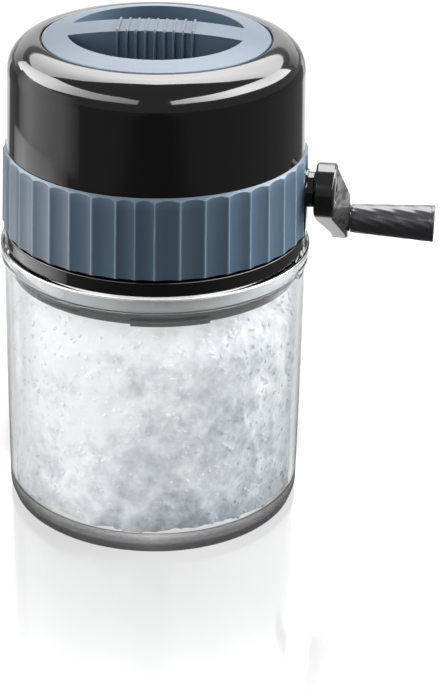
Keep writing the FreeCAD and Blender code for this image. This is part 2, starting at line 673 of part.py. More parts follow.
def make_lower_housing():
    """Lower housing: skirt with seal groove and lugs, black band, wall behind the ring, pillar and boss."""
    body = piece("lower_housing")
    groove_radius = "(fit.seal_inner - size.slip)"
    groove_base = "(fit.seal_base - size.gap)"
    profile = sketch(body, "XZ_Plane", "profile")
    outline(profile, (
        ("fit.skirt_bore", "fit.skirt_base"),
        ("fit.skirt", "fit.skirt_base"),
        ("fit.skirt", groove_base),
        (groove_radius, groove_base),
        (groove_radius, "fit.collar_base"),
        ("fit.band", "fit.collar_base"),
        ("fit.band", "fit.band_top"),
        ("fit.housing", "fit.band_top"),
        ("fit.housing", "fit.hood_base"),
        ("fit.housing_bore", "fit.hood_base"),
        ("fit.housing_bore", "fit.plate_base"),
        ("fit.skirt_bore", "fit.plate_base"),
    ))
    turned(body, "wall", profile)
    drawing, angle = sector(body, "lug", "fit.skirt - 0.5",
                            "fit.skirt + size.jar_lug_reach", "fit.skirt_base", "fit.collar_lug_top",
                            "size.collar_lug_arc", "size.collar_lug_turn")
    lug = turned(body, "lug", drawing, **angle)
    around(body, "lugs", [lug], "size.lug_count")
    screw_lug = ring_wall(body, "screw_lug", "XY_Plane", None, "size.screw_boss_radius", "fit.lug_base",
                          "size.screw_lug_height", SCREW_SPOT)
    around(body, "screw_lugs", [screw_lug], SCREW_COUNT)
    hole = drilled(body, "screw_hole", "XY_Plane", "size.screw_radius + size.slip",
                   "fit.flange_base + 1", "size.screw_lug_height + 2", SCREW_SPOT)
    around(body, "screw_holes", [hole], SCREW_COUNT)
    # the pillar fills the ring's slot, and the boss on it carries the shaft
    pillar_length = "fit.pillar_face - fit.pillar_root"
    half_height = "0.5 * (fit.crank_height - fit.band_top)"
    block(body, "pillar", "YZ_Plane", "0.5 * size.pillar_width", half_height, "fit.pillar_root",
          pillar_length,
          ("0", "fit.crank_height - %s" % half_height))
    axis = ("0", "fit.crank_height")
    ring_wall(body, "pillar_top", "YZ_Plane", None, "0.5 * size.pillar_width",
              "fit.pillar_root", pillar_length, axis)
    ring_wall(body, "inner_boss", "YZ_Plane", None, "size.inner_boss_radius", "fit.boss_root",
              "fit.pillar_root - fit.boss_root", axis)
    ring_wall(body, "outer_boss", "YZ_Plane", None, "size.boss_radius",
              "fit.pillar_root", "fit.boss_end - fit.pillar_root", axis)
    drilled(body, "bush_bore", "YZ_Plane", "size.outer_bush_radius + size.slip", "fit.boss_end + 1",
            "fit.boss_end + 2 - fit.boss_root", axis)


def flute(body, name, radius, angle):
    """One hollow down the ring, in the direction of an angle; its axis leans as the ring tapers."""
    drawing = sketch(body, "XY_Plane", name + "_section")
    circle(drawing, radius, "fit.ring + %s - size.flute_depth" % radius)
    start = "fit.ring_base - size.flute_margin"
    drawing.AttachmentOffset = FreeCAD.Placement(
        FreeCAD.Vector(0, 0, value(start)),
        FreeCAD.Rotation(value(angle), -value("fit.ring_lean"), 0))
    bind(drawing, "AttachmentOffset",
         "placement(vector(0; 0; %s); rotation(%s; -(fit.ring_lean); 0))" % (start, angle))
    return pocket(body, name, drawing, "fit.ring_end - fit.ring_base + 2 * size.flute_margin",
                  Reversed=True)


def make_grip_ring():
    """Blue-grey ring round the head: hollow flutes between ridges, a sloping lip, a slot at the boss.

    It is drawn with its front pair of narrow flutes on -X, and turned to its place.
    """
    body = piece("grip_ring")
    bore = "(fit.housing + size.gap)"
    profile = sketch(body, "XZ_Plane", "profile")
    outline(profile, (
        (bore, "fit.ring_base"),
        ("fit.ring", "fit.ring_base"),
        ("fit.ring_top", "fit.ring_end - size.ring_lip"),
        ("fit.hood_edge", "fit.ring_end"),
        (bore, "fit.ring_end"),
    ))
    turned(body, "wall", profile)
    wide = flute(body, "wide_flute", "size.flute_radius",
                 "-0.5 * (size.flute_count - 1) * size.flute_pitch")
    row = around(body, "wide_flutes", [wide], "size.flute_count")
    bind(row, "Angle", "(size.flute_count - 1) * size.flute_pitch")
    for name, side in (("left", "-"), ("right", "")):
        flute(body, name + "_narrow_flute", "size.narrow_flute_radius",
              "180 %s 0.5 * size.narrow_pitch" % (side or "+"))
    slot = sketch(body, "YZ_Plane", "slot_section")
    half_width = "(0.5 * size.pillar_width + size.gap)"
    below = "(fit.ring_base - 1)"
    outline(slot, (
        ("-" + half_width, below),
        (half_width, below),
        (half_width, "fit.crank_height", half_width, 1),
        ("0", "fit.crank_height + " + half_width, half_width, 1),
        ("-" + half_width, "fit.crank_height"),
    ))
    turn = "-size.ring_turn"
    slot.AttachmentOffset = FreeCAD.Placement(
        FreeCAD.Vector(), FreeCAD.Rotation(FreeCAD.Vector(0, 1, 0), value(turn)))
    bind(slot, "AttachmentOffset.Rotation.Angle", turn)
    pocket(body, "slot", slot, "fit.ring + 1", Reversed=True)
    place(body, axis=Z_AXIS, angle="size.ring_turn")


def make_hood():
    """Gloss black hood: one turned shell with a round shoulder, the lid's seat, a neck with gates."""
    body = piece("hopper_hood")
    inner_shoulder = ("fit.hood_shoulder - size.hood_wall",
                      "fit.hood_top - size.hood_wall")
    neck_outer = "(fit.neck_bore + size.neck_wall)"
    step_radius = "(fit.seam + size.hood_wall)"
    under_seat = "(fit.lid_seat - size.hood_wall)"
    profile = sketch(body, "XZ_Plane", "profile")
    outline(profile, (
        ("fit.hood_edge - size.hood_wall", "fit.hood_base"),
        ("fit.hood_edge", "fit.hood_base"),
        ("fit.hood_shoulder", "fit.hood_top"),
        ("fit.seam", "fit.lid_rise"),
        ("fit.seam", "fit.lid_seat"),
        ("fit.neck_bore", "fit.lid_seat"),
        ("fit.neck_bore", "fit.neck_base"),
        (neck_outer, "fit.neck_base"),
        (neck_outer, under_seat),
        (step_radius, under_seat),
        (step_radius, inner_shoulder[1]),
        inner_shoulder,
    ))
    turned(body, "shell", profile)
    round_edges(body, "shoulder", "size.hood_round",
                ring_at("fit.hood_shoulder", "fit.hood_top"))
    round_edges(body, "inner_shoulder", "size.hood_inner_round", ring_at(*inner_shoulder))
    round_edges(body, "seam_edge", "size.edge_round", ring_at("fit.seam", "fit.lid_rise"))
    lug_tip = "(fit.plug + size.lid_lug_reach)"
    drawing, angle = sector(body, "gate", "fit.neck_bore - 1", "%s + size.gap" % lug_tip,
                            "fit.neck_base - 1", "fit.lid_seat + 0.5", "size.gate_arc")
    gate = groove(body, "gate", drawing, **angle)
    around(body, "gates", [gate], "size.lug_count")
    boss = ring_wall(body, "screw_boss", "XY_Plane", None, "size.screw_boss_radius", "fit.flange_top",
                     "size.hood_boss_height", SCREW_SPOT)
    around(body, "screw_bosses", [boss], SCREW_COUNT)
    hole = drilled(body, "pilot", "XY_Plane", "size.screw_radius + size.slip", "fit.flange_top - 1",
                   "size.screw_bite + 2", SCREW_SPOT, Reversed=True)
    around(body, "pilots", [hole], SCREW_COUNT)


def make_chamber():
    """Crushing chamber: a dished floor clamped under the hood, and a square throat round the blades."""
    body = piece("crushing_chamber")
    profile = sketch(body, "XZ_Plane", "profile")
    outline(profile, (
        ("0", "fit.dish_floor"),
        ("fit.dish_middle", "fit.dish_floor"),
        ("fit.dish", "fit.flange_top"),
        ("fit.plate", "fit.flange_top"),
        ("fit.plate", "fit.flange_base"),
        ("fit.dish + 0.5", "fit.flange_base"),
        ("fit.dish_middle + 1", "fit.dish_floor - size.chamber_flange"),
        ("0", "fit.dish_floor - size.chamber_flange"),
    ))
    turned(body, "dish", profile)
    block(body, "throat", "XY_Plane", "fit.throat_out", "fit.throat_side_out", "fit.throat_base",
          "fit.dish_floor - fit.throat_base - 0.5")
    block(body, "bead", "XY_Plane", "fit.throat_out + size.throat_bead",
          "fit.throat_side_out + size.throat_bead", "fit.plate_base + size.plate_thick",
          "size.throat_bead")
    comb_pad = block(body, "comb_pad", "XZ_Plane", "fit.comb_half",
                     "0.5 * size.comb_flange_height + 1", "fit.throat_side_out - 0.5",
                     "size.comb_pad + 0.5",
                     ("0", "fit.comb_middle + 0.5 * (size.comb_flange_height - size.comb_thick)"))
    mirrored(body, "comb_pads", [comb_pad])
    inside = sketch(body, "XY_Plane", "inside_section", "fit.flange_top + 1")
    rectangle(inside, "fit.throat_half", "fit.throat_side")
    pocket(body, "inside", inside, "fit.flange_top + 2 - fit.throat_base")
    slit = sketch(body, "XZ_Plane", "slit_section", "fit.throat_side - 1")
    rectangle(slit, "fit.comb_half + 0.2", "0.5 * size.comb_thick + 0.2", "0", "fit.comb_middle")
    slit_cut = pocket(body, "slit", slit, "size.throat_wall + size.comb_pad + 2", Reversed=True)
    mirrored(body, "slits", [slit_cut])
    holes = sketch(body, "XZ_Plane", "comb_screw_section", "fit.comb_face + 0.5")
    for side in ("-", ""):
        circle(holes, "size.comb_screw_radius + size.slip", side + "0.5 * size.comb_screw_pitch",
               "fit.crank_height + size.comb_screw_rise")
    hole_cut = pocket(body, "comb_screw_holes", holes, "size.comb_pad + size.throat_wall")
    mirrored(body, "more_comb_screw_holes", [hole_cut])
    axis = ("0", "fit.crank_height")
    drilled(body, "inner_bush_hole", "YZ_Plane", "size.inner_bush_radius + size.slip",
            "fit.throat_out + 1", "size.throat_wall + 2", axis)
    drilled(body, "end_bush_hole", "YZ_Plane", "size.end_bush_radius + size.slip",
            "-fit.throat_out - 1", "size.throat_wall + 2", axis, Reversed=True)
    hole = drilled(body, "flange_hole", "XY_Plane", "size.screw_radius + size.slip",
                   "fit.flange_top + 1", "size.chamber_flange + 2", SCREW_SPOT)
    around(body, "flange_holes", [hole], SCREW_COUNT)


def make_bottom_plate():
    """Plate that closes the head's underside round the throat, with four screwdriver holes."""
    body = piece("bottom_plate")
    drawing = sketch(body, "XY_Plane", "section", "fit.plate_base")
    circle(drawing, "fit.plate")
    rectangle(drawing, "fit.throat_out + size.plate_radius_play",
              "fit.throat_side_out + size.plate_radius_play")
    pad(body, "plate", drawing, "size.plate_thick")
    hole = drilled(body, "access", "XY_Plane", "size.access_radius",
                   "fit.plate_base + size.plate_thick + 1", "size.plate_thick + 2", SCREW_SPOT)
    around(body, "accesses", [hole], SCREW_COUNT)


def make_housing_screws():
    """Four screws that clamp the chamber between the housing's lugs and the hood's bosses."""
    body = piece("housing_screws")
    body.AllowCompound = True
    shank = ring_wall(body, "shank", "XY_Plane", None, "size.screw_radius", "fit.lug_base",
                      "size.screw_lug_height + size.chamber_flange + size.screw_bite", SCREW_SPOT)
    head = ring_wall(body, "head", "XY_Plane", None, "size.screw_head_radius", "fit.screw_base",
                     "size.screw_head_height", SCREW_SPOT)
    around(body, "screws", [shank, head], SCREW_COUNT)


def make_comb(name, turn):
    """Steel comb: six fingers between the blades, a spine in the throat's slit, an upright flange."""
    body = piece(name)
    sheet_base = "(-size.comb_drop - size.comb_thick)"
    spine = sketch(body, "XY_Plane", "spine_section", sheet_base)
    outline(spine, (
        ("-fit.comb_half", "fit.comb_spine"),
        ("fit.comb_half", "fit.comb_spine"),
        ("fit.comb_half", "fit.comb_outside"),
        ("-fit.comb_half", "fit.comb_outside"),
    ))
    pad(body, "spine", spine, "size.comb_thick")
    middle = "(-2.5 * size.blade_pitch)"
    root, tip = "(0.5 * size.comb_finger_width)", "(0.5 * size.comb_tip_width)"
    shoulder = "(size.comb_reach + size.comb_tip_length)"
    finger = sketch(body, "XY_Plane", "finger_section", sheet_base)
    outline(finger, (
        ("%s - %s" % (middle, root), "fit.comb_spine + 0.5"),
        ("%s - %s" % (middle, root), shoulder),
        ("%s - %s" % (middle, tip), "size.comb_reach"),
        ("%s + %s" % (middle, tip), "size.comb_reach"),
        ("%s + %s" % (middle, root), shoulder),
        ("%s + %s" % (middle, root), "fit.comb_spine + 0.5"),
    ))
    one = pad(body, "finger", finger, "size.comb_thick")
    along(body, "fingers", [one], "6", "5 * size.blade_pitch")
    rise = "(%s + 0.5 * size.comb_flange_height)" % sheet_base
    block(body, "flange", "XZ_Plane", "fit.comb_half", "0.5 * size.comb_flange_height", "-fit.comb_face",
          "size.comb_thick", ("0", rise), Reversed=True)
    holes = sketch(body, "XZ_Plane", "hole_section", "-fit.comb_face - size.comb_thick - 1")
    for side in ("-", ""):
        circle(holes, "size.comb_screw_radius + size.slip", side + "0.5 * size.comb_screw_pitch",
               "size.comb_screw_rise")
    pocket(body, "holes", holes, "size.comb_thick + 2", Reversed=True)
    place(body, height="fit.crank_height", axis=Z_AXIS, angle=turn)


def make_comb_screws():
    """Four screws that hold the combs on the throat."""
    body = piece("comb_screws")
    body.AllowCompound = True
    bite = "size.comb_thick + size.comb_pad + 0.6 * size.throat_wall"
    made = []
    for number, side in enumerate(("-", "")):
        spot = (side + "0.5 * size.comb_screw_pitch", "fit.crank_height + size.comb_screw_rise")
        made.append(ring_wall(body, "shank_%d" % number, "XZ_Plane", None, "size.comb_screw_radius",
                              "fit.comb_outside - (%s)" % bite, bite, spot))
        made.append(ring_wall(body, "head_%d" % number, "XZ_Plane", None, "size.comb_screw_head",
                              "fit.comb_outside", "size.comb_screw_head_height", spot))
    mirrored(body, "screws", made)


def make_bushes():
    """Three flanged bushes: at the shaft's end, in the throat's other wall, and in the boss."""
    axis = ("0", "fit.crank_height")
    runs = (
        ("end_bush", "size.end_journal", "size.end_bush_radius", "-fit.throat_out", "size.throat_wall",
         "-fit.throat_out - size.bush_flange"),
        ("inner_bush", "size.drive_journal", "size.inner_bush_radius", "fit.throat_half",
         "size.throat_wall", "fit.throat_out"),
        ("boss_bush", "size.drive_journal", "size.outer_bush_radius", "fit.boss_root",
         "fit.boss_end - fit.boss_root - size.gap", "fit.boss_root - size.bush_flange"),
    )
    for name, journal, radius, start, length, flange_start in runs:
        body = piece(name)
        bore = "(%s + size.slip)" % journal
        ring_wall(body, "sleeve", "YZ_Plane", bore, radius, start, length, axis)
        ring_wall(body, "flange", "YZ_Plane", bore, "(%s + size.bush_flange_reach)" % radius,
                  flange_start, "size.bush_flange", axis)


# ---------------------------------------------------------------------------------------------------
# Shaft with its blades
# ---------------------------------------------------------------------------------------------------

BLADE_COUNT = 7


def hang_on_crank(body):
    """The crank's pieces are drawn with the arm along +Y, and turned down to its rest place."""
    place(body, height="fit.crank_height", axis=X_AXIS, angle="-size.arm_angle")


def hexagon(drawing, corner_radius, turn="0"):
    """A hexagon about the shaft's axis, by the radius of its corners and a turn."""
    outline(drawing, [("%s * cos(%d - %s)" % (corner_radius, corner, turn),
                       "%s * sin(%d - %s)" % (corner_radius, corner, turn))
                      for corner in range(30, 390, 60)])


def make_drive_shaft():
    """Steel shaft: hexagon through the blades, a thin and a thick journal, a square for the crank."""
    body = piece("drive_shaft")
    drawing = sketch(body, "YZ_Plane", "hexagon_section", "-fit.stack_end")
    hexagon(drawing, "fit.hex_corner")
    pad(body, "hexagon", drawing, "2 * fit.stack_end")
    tail = "(fit.clip_face + size.clip_thick + size.shaft_tail)"
    ring_wall(body, "end_journal", "YZ_Plane", None, "size.end_journal", "-" + tail,
              "%s - %s" % (tail, "fit.stack_end"))
    ring_wall(body, "drive_journal", "YZ_Plane", None, "size.drive_journal", "fit.stack_end",
              "fit.hub_face - fit.stack_end")
    block(body, "square", "YZ_Plane", "0.5 * size.drive_square", "0.5 * size.drive_square", "fit.hub_face",
          "size.square_depth - size.gap")
    drilled(body, "screw_hole", "YZ_Plane", "size.crank_screw_radius + size.slip",
            "fit.hub_face + size.square_depth", "size.crank_screw_bite + 1")
    clip = sketch(body, "YZ_Plane", "clip_groove_section", "-fit.clip_face + size.slip")
    circle(clip, "size.end_journal + 1")
    circle(clip, "size.end_journal - size.clip_groove")
    pocket(body, "clip_groove", clip, "size.clip_thick + 2 * size.slip")
    hang_on_crank(body)


def make_blade(number):
    """Sheet steel blade: a round middle with three hooked teeth, on the shaft's hexagon."""
    body = piece("crusher_blade_%d" % (number + 1))
    ring_wall(body, "middle", "YZ_Plane", None, "size.blade_hub_radius", "0", "size.blade_thick")
    tooth = sketch(body, "YZ_Plane", "tooth_section")
    outline(tooth, (
        ("size.tooth_root", "size.tooth_root_height", "size.tooth_back_radius", 1),
        ("-size.tooth_tip_lean", "size.tooth_tip_height", "size.tooth_hook_radius", -1),
        ("-size.tooth_root", "size.tooth_root_height"),
    ))
    one = pad(body, "tooth", tooth, "size.blade_thick")
    around(body, "teeth", [one], "size.blade_tooth_count", "X_Axis")
    bore = sketch(body, "YZ_Plane", "bore_section", "size.blade_thick + 1")
    hexagon(bore, "(fit.hex_corner + size.slip)", "%d * size.blade_twist" % number)
    pocket(body, "bore", bore, "size.blade_thick + 2")
    steps = number - (BLADE_COUNT - 1) // 2
    place(body, across="%d * size.blade_pitch - 0.5 * size.blade_thick" % steps,
          height="fit.crank_height", axis=X_AXIS,
          angle="%d * size.blade_twist - size.arm_angle" % number)


def make_spacers():
    """Tubes on the hexagon that keep the blades apart, and a shorter one at each end."""
    last_face = "(%d * size.blade_pitch + 0.5 * size.blade_thick)" % ((BLADE_COUNT - 1) // 2)
    end_length = "(%s - %s)" % ("fit.stack_end", last_face)
    runs = [("-fit.stack_end", end_length)]
    for number in range(BLADE_COUNT - 1):
        steps = number - (BLADE_COUNT - 1) // 2
        runs.append(("%d * size.blade_pitch + 0.5 * size.blade_thick" % steps,
                     "size.blade_pitch - size.blade_thick"))
    runs.append((last_face, end_length))
    for number, (start, length) in enumerate(runs, start=1):
        body = piece("blade_spacer_%d" % number)
        ring_wall(body, "tube", "YZ_Plane", "(fit.hex_corner + size.slip)", "size.spacer_radius",
                  start, length)
        place(body, height="fit.crank_height")


def make_shaft_clip():
    """Open retaining clip in the shaft's groove, behind the end bush."""
    body = piece("shaft_clip")
    ring_wall(body, "ring", "YZ_Plane", "(size.end_journal - size.clip_groove + 0.5 * size.slip)",
              "size.clip_radius", "-fit.clip_face - size.clip_thick", "size.clip_thick")
    mouth = sketch(body, "YZ_Plane", "mouth_section", "-fit.clip_face + 1")
    rectangle(mouth, "0.5 * size.clip_mouth", "0.5 * size.clip_radius", "0", "size.clip_radius")
    pocket(body, "mouth", mouth, "size.clip_thick + 2")
    place(body, height="fit.crank_height")


# ---------------------------------------------------------------------------------------------------
# Crank
# ---------------------------------------------------------------------------------------------------

PIN_SPOT = ("size.arm_length", "0")


def make_crank_arm():
    """Crank arm: a round hub and a smaller round end, leaning away from the body, with bevelled edges."""
    body = piece("crank_arm")
    sine = "((size.hub_radius - size.arm_end_radius) / size.arm_length)"
    cosine = "sqrt(1 - %s^2)" % sine
    hub = ("size.hub_radius * %s" % sine, "size.hub_radius * %s" % cosine)
    end = ("(size.arm_length + size.arm_end_radius * %s)" % sine, "size.arm_end_radius * %s" % cosine)
    plan = sketch(body, "YZ_Plane", "plan", "fit.hub_face")
    outline(plan, (
        (hub[0], hub[1], "size.hub_radius", 2),
        (hub[0], "-" + hub[1]),
        (end[0], "-" + end[1], "size.arm_end_radius", 1),
        end,
    ))
    pad(body, "plan", plan, "size.hub_thick + size.arm_offset")
    end_start = "(size.arm_length - size.arm_end_radius)"
    outside = sketch(body, "XY_Plane", "outside")
    outline(outside, (
        ("fit.hub_outer", "-2 * size.hub_radius"),
        ("fit.arm_outer + 1", "-2 * size.hub_radius"),
        ("fit.arm_outer + 1", end_start),
        ("fit.arm_outer", end_start),
        ("fit.hub_outer", "size.hub_flat"),
    ))
    pocket(body, "outside", outside, "4 * size.hub_radius", Midplane=True)
    beyond = "(size.arm_length + 2 * size.arm_end_radius)"
    inside = sketch(body, "XY_Plane", "inside")
    outline(inside, (
        ("fit.hub_face", "size.hub_back_flat"),
        ("fit.arm_inner", end_start),
        ("fit.arm_inner", beyond),
        ("fit.hub_face - 1", beyond),
        ("fit.hub_face - 1", "size.hub_back_flat"),
    ))
    pocket(body, "inside", inside, "4 * size.hub_radius", Midplane=True)
    outer_limit, inner_limit = value("fit.hub_outer") - 0.01, value("fit.arm_inner") + 0.01

    def rim(edge):
        """The edges round the outer and the inner face, without the creases across them."""
        middle = edge.CenterOfMass
        along_z = edge.BoundBox.XLength < 0.01 and edge.BoundBox.YLength < 0.01
        straight_out = edge.BoundBox.YLength < 0.01 and edge.BoundBox.ZLength < 0.01
        return (middle.x > outer_limit or middle.x < inner_limit) and not along_z and not straight_out
    round_edges(body, "bevel", "size.arm_bevel", rim, "Chamfer")
    socket = sketch(body, "YZ_Plane", "socket_section", "fit.hub_face - 1")
    half_side = "(0.5 * size.drive_square + size.slip)"
    rectangle(socket, half_side, half_side)
    pocket(body, "socket", socket, "size.square_depth + 1", Reversed=True)
    drilled(body, "screw_hole", "YZ_Plane", "size.crank_screw_radius + size.slip", "fit.hub_outer",
            "size.hub_thick")
    drilled(body, "screw_recess", "YZ_Plane", "size.crank_screw_head + 2 * size.slip",
            "fit.hub_outer + 1", "fit.hub_outer + 1 - fit.screw_seat")
    drilled(body, "cap_recess", "YZ_Plane", "size.hub_cap_radius + size.slip", "fit.arm_outer + 1",
            "size.arm_offset + 1 + size.hub_cap_thick + size.gap")
    drilled(body, "pin_hole", "YZ_Plane", "size.pin_radius + size.slip", "fit.arm_outer + 1",
            "size.arm_end_thick + 2", PIN_SPOT)
    hang_on_crank(body)


def make_crank_screw():
    """Screw that holds the crank on the shaft's square."""
    body = piece("crank_screw")
    ring_wall(body, "shank", "YZ_Plane", None, "size.crank_screw_radius",
              "fit.screw_seat - size.crank_screw_bite", "size.crank_screw_bite")
    ring_wall(body, "head", "YZ_Plane", None, "size.crank_screw_head", "fit.screw_seat",
              "size.crank_screw_head_height")
    hang_on_crank(body)


def make_hub_cap():
    """Cap that covers the screw in the hub."""
    body = piece("hub_cap")
    ring_wall(body, "disc", "YZ_Plane", None, "size.hub_cap_radius",
              "fit.hub_outer - size.hub_cap_thick - size.slip", "size.hub_cap_thick")
    hang_on_crank(body)


def make_grip_pin():
    """Pin riveted into the arm's end; the grip turns on it and its head keeps the grip on."""
    body = piece("grip_pin")
    seat = "(fit.grip_end - size.grip_counterbore + size.gap)"
    ring_wall(body, "rivet", "YZ_Plane", None, "size.rivet_radius",
              "fit.arm_inner - size.rivet_height", "size.rivet_height", PIN_SPOT)
    ring_wall(body, "shank", "YZ_Plane", None, "size.pin_radius", "fit.arm_inner",
              "%s - fit.arm_inner" % seat, PIN_SPOT)
    ring_wall(body, "head", "YZ_Plane", None, "size.pin_head_radius", seat, "size.pin_head_height",
              PIN_SPOT)
    hang_on_crank(body)


def make_grip_washer():
    """Washer between the arm and the turning grip."""
    body = piece("grip_washer")
    ring_wall(body, "ring", "YZ_Plane", "(size.pin_radius + size.slip)", "size.grip_washer_radius",
              "fit.arm_outer", "size.grip_washer_thick", PIN_SPOT)
    hang_on_crank(body)


POINTS_PER_FLUTE = 4
SECTION_COUNT = 6


def fluted_section(distance, radius, turn):
    """One closed cross-section of the grip: a round wave with as many crests as there are flutes."""
    count, depth = int(value("size.grip_flute_count")), value("size.grip_flute_depth")
    steps = POINTS_PER_FLUTE * count
    points = []
    for step in range(steps):
        angle = 2 * math.pi * step / steps
        reach = radius - 0.5 * depth * (1 - math.cos(count * angle))
        points.append(FreeCAD.Vector(distance, reach * math.cos(angle + turn),
                                     reach * math.sin(angle + turn)))
    curve = Part.BSplineCurve()
    curve.interpolate(Points=points + points[:1])
    return Part.Wire([curve.toShape()])


def make_crank_grip():
    """Tapered grip with twisted flutes, bored for its pin."""
    start, length = value("fit.grip_start"), value("size.grip_length")
    first, last = value("size.grip_start_radius"), value("size.grip_end_radius")
    sections = []
    for number in range(SECTION_COUNT):
        share = number / (SECTION_COUNT - 1)
        sections.append(fluted_section(start + share * length, first + share * (last - first),
                                       share * math.radians(value("size.grip_twist"))))
    skin = Part.makeLoft(sections, True, False)
    bore = Part.makeCylinder(value("size.pin_radius + size.slip"), length + 2,
                             FreeCAD.Vector(start - 1, 0, 0), X_AXIS)
    hollow = Part.makeCylinder(value("fit.grip_hollow"), value("size.grip_counterbore") + 1,
                               FreeCAD.Vector(value("fit.grip_end") - value("size.grip_counterbore"), 0, 0),
                               X_AXIS)
    grip = doc.addObject("Part::Feature", "crank_grip")
    grip.Label = "crank_grip"
    grip.Shape = skin.cut(bore).cut(hollow)
    angle = math.radians(value("size.arm_angle"))
    reach = value("size.arm_length")
    spot = FreeCAD.Vector(0, reach * math.cos(angle), value("fit.crank_height") - reach * math.sin(angle))
    grip.Placement = FreeCAD.Placement(spot, FreeCAD.Rotation())
    PIECES.append(grip)


def make_grip_end_cap():
    """Cap pressed into the grip's end."""
    body = piece("grip_end_cap")
    ring_wall(body, "spigot", "YZ_Plane", None, "(fit.grip_hollow - size.slip)",
              "fit.grip_end - size.cap_spigot", "size.cap_spigot", PIN_SPOT)
    ring_wall(body, "rim", "YZ_Plane", None, "size.grip_end_radius", "fit.grip_end", "size.cap_rim_thick",
              PIN_SPOT)
    hang_on_crank(body)


# ---------------------------------------------------------------------------------------------------
# Lid
# ---------------------------------------------------------------------------------------------------


def make_lid_cover():
    """Lid: a shallow dome with two half-moon openings for the fingers and a ribbed, hollow bar between."""
    body = piece("lid_cover")
    profile = sketch(body, "XZ_Plane", "profile")
    outline(profile, (
        ("0", "fit.lid_base"),
        ("fit.lid_edge", "fit.lid_base"),
        ("fit.lid_edge", "fit.lid_rise", "fit.lid_dome", 1),
        ("0", "fit.lid_top"),
    ))
    turned(body, "dome", profile)
    round_edges(body, "edge_round", "size.edge_round", ring_at("fit.lid_edge", "fit.lid_rise"))
    corner = "sqrt(fit.pocket^2 - fit.bar_half^2)"
    moon = sketch(body, "XY_Plane", "moon_section", "fit.lid_top + 1")
    outline(moon, (
        ("-" + corner, "-fit.bar_half", "fit.pocket", 1),
        (corner, "-fit.bar_half"),
    ))
    front = pocket(body, "finger_pocket", moon, "fit.lid_top + 2 - fit.lid_base")
    mirrored(body, "finger_pockets", [front])
    bar_corner = "sqrt(fit.bar_end^2 - fit.bar_half^2)"
    bar = sketch(body, "XY_Plane", "bar_section", "fit.bar_base")
    outline(bar, (
        ("-" + bar_corner, "-fit.bar_half"),
        (bar_corner, "-fit.bar_half", "fit.bar_end", 1),
        (bar_corner, "fit.bar_half"),
        ("-" + bar_corner, "fit.bar_half", "fit.bar_end", 1),
    ))
    pad(body, "bar", bar, "fit.lid_base + 1 - fit.bar_base")
    first_rib = "(-0.5 * (size.bar_rib_count - 1) * size.bar_rib_pitch - 0.5 * size.bar_rib_width)"
    rib_top = "(fit.lid_top + 0.5 * size.bar_rib_proud)"
    rib_half = "(0.5 * (%s - fit.bar_base - size.bar_foot))" % rib_top
    rib = block(body, "rib", "YZ_Plane", "fit.bar_half + size.bar_rib_proud", rib_half, first_rib,
                "size.bar_rib_width", ("0", "%s - %s" % (rib_top, rib_half)))
    along(body, "ribs", [rib], "size.bar_rib_count", "(size.bar_rib_count - 1) * size.bar_rib_pitch")
    hollow = sketch(body, "XY_Plane", "hollow_section", "fit.bar_base - 1")
    rectangle(hollow, "fit.bar_end - 2 * size.bar_wall", "fit.bar_half - size.bar_wall")
    pocket(body, "hollow", hollow, "fit.post_top - fit.bar_base + 1", Reversed=True)
    for name, side in (("left", "-"), ("right", "")):
        spot = (side + "0.5 * size.lid_screw_spread", "0")
        ring_wall(body, name + "_post", "XY_Plane", None, "size.lid_post_radius", "fit.bar_base",
                  "fit.post_top - fit.bar_base + 0.5 * size.post_rise", spot)
        drilled(body, name + "_pilot", "XY_Plane", "size.lid_screw_radius + size.slip",
                "fit.bar_base - 1", "size.lid_screw_bite + 2", spot, Reversed=True)
    place(body, axis=Z_AXIS, angle="size.lid_angle")


def make_lid_plug():
    """Cup under the lid: it carries the seal and three lugs that turn under the hood's neck."""
    body = piece("lid_plug")
    groove_radius = "(fit.lid_seal_inner - size.slip)"
    profile = sketch(body, "XZ_Plane", "profile")
    outline(profile, (
        ("0", "fit.plug_base"),
        ("fit.plug", "fit.plug_base"),
        ("fit.plug", "fit.lid_seal_base - size.slip"),
        (groove_radius, "fit.lid_seal_base - size.slip"),
        (groove_radius, "fit.lid_seal_top + size.slip"),
        ("fit.plug", "fit.lid_seal_top + size.slip"),
        ("fit.plug", "fit.plug_top"),
        ("fit.plug_bore", "fit.plug_top"),
        ("fit.plug_bore", "fit.plug_floor_top"),
        ("0", "fit.plug_floor_top"),
    ))
    turned(body, "cup", profile)
    lug_top = "(fit.neck_base - size.gap)"
    drawing, angle = sector(body, "lug", "fit.plug - 0.5",
                            "fit.plug + size.lid_lug_reach",
                            "%s - size.lid_lug_height" % lug_top, lug_top, "size.lid_lug_arc")
    lug = turned(body, "lug", drawing, **angle)
    around(body, "lugs", [lug], "size.lug_count")
    spot = ("0.5 * size.lid_screw_spread * cos(size.lid_angle)",
            "0.5 * size.lid_screw_spread * sin(size.lid_angle)")
    hole = drilled(body, "screw_hole", "XY_Plane", "size.lid_screw_radius + size.slip",
                   "fit.plug_floor_top + 1", "size.plug_floor + 2", spot)
    around(body, "screw_holes", [hole], "2")


def make_lid_seal():
    """Silicone ring in the plug's groove."""
    body = piece("lid_seal")
    ring_wall(body, "ring", "XY_Plane", "fit.lid_seal_inner", "fit.lid_seal_outer", "fit.lid_seal_base",
              "size.lid_seal_height")


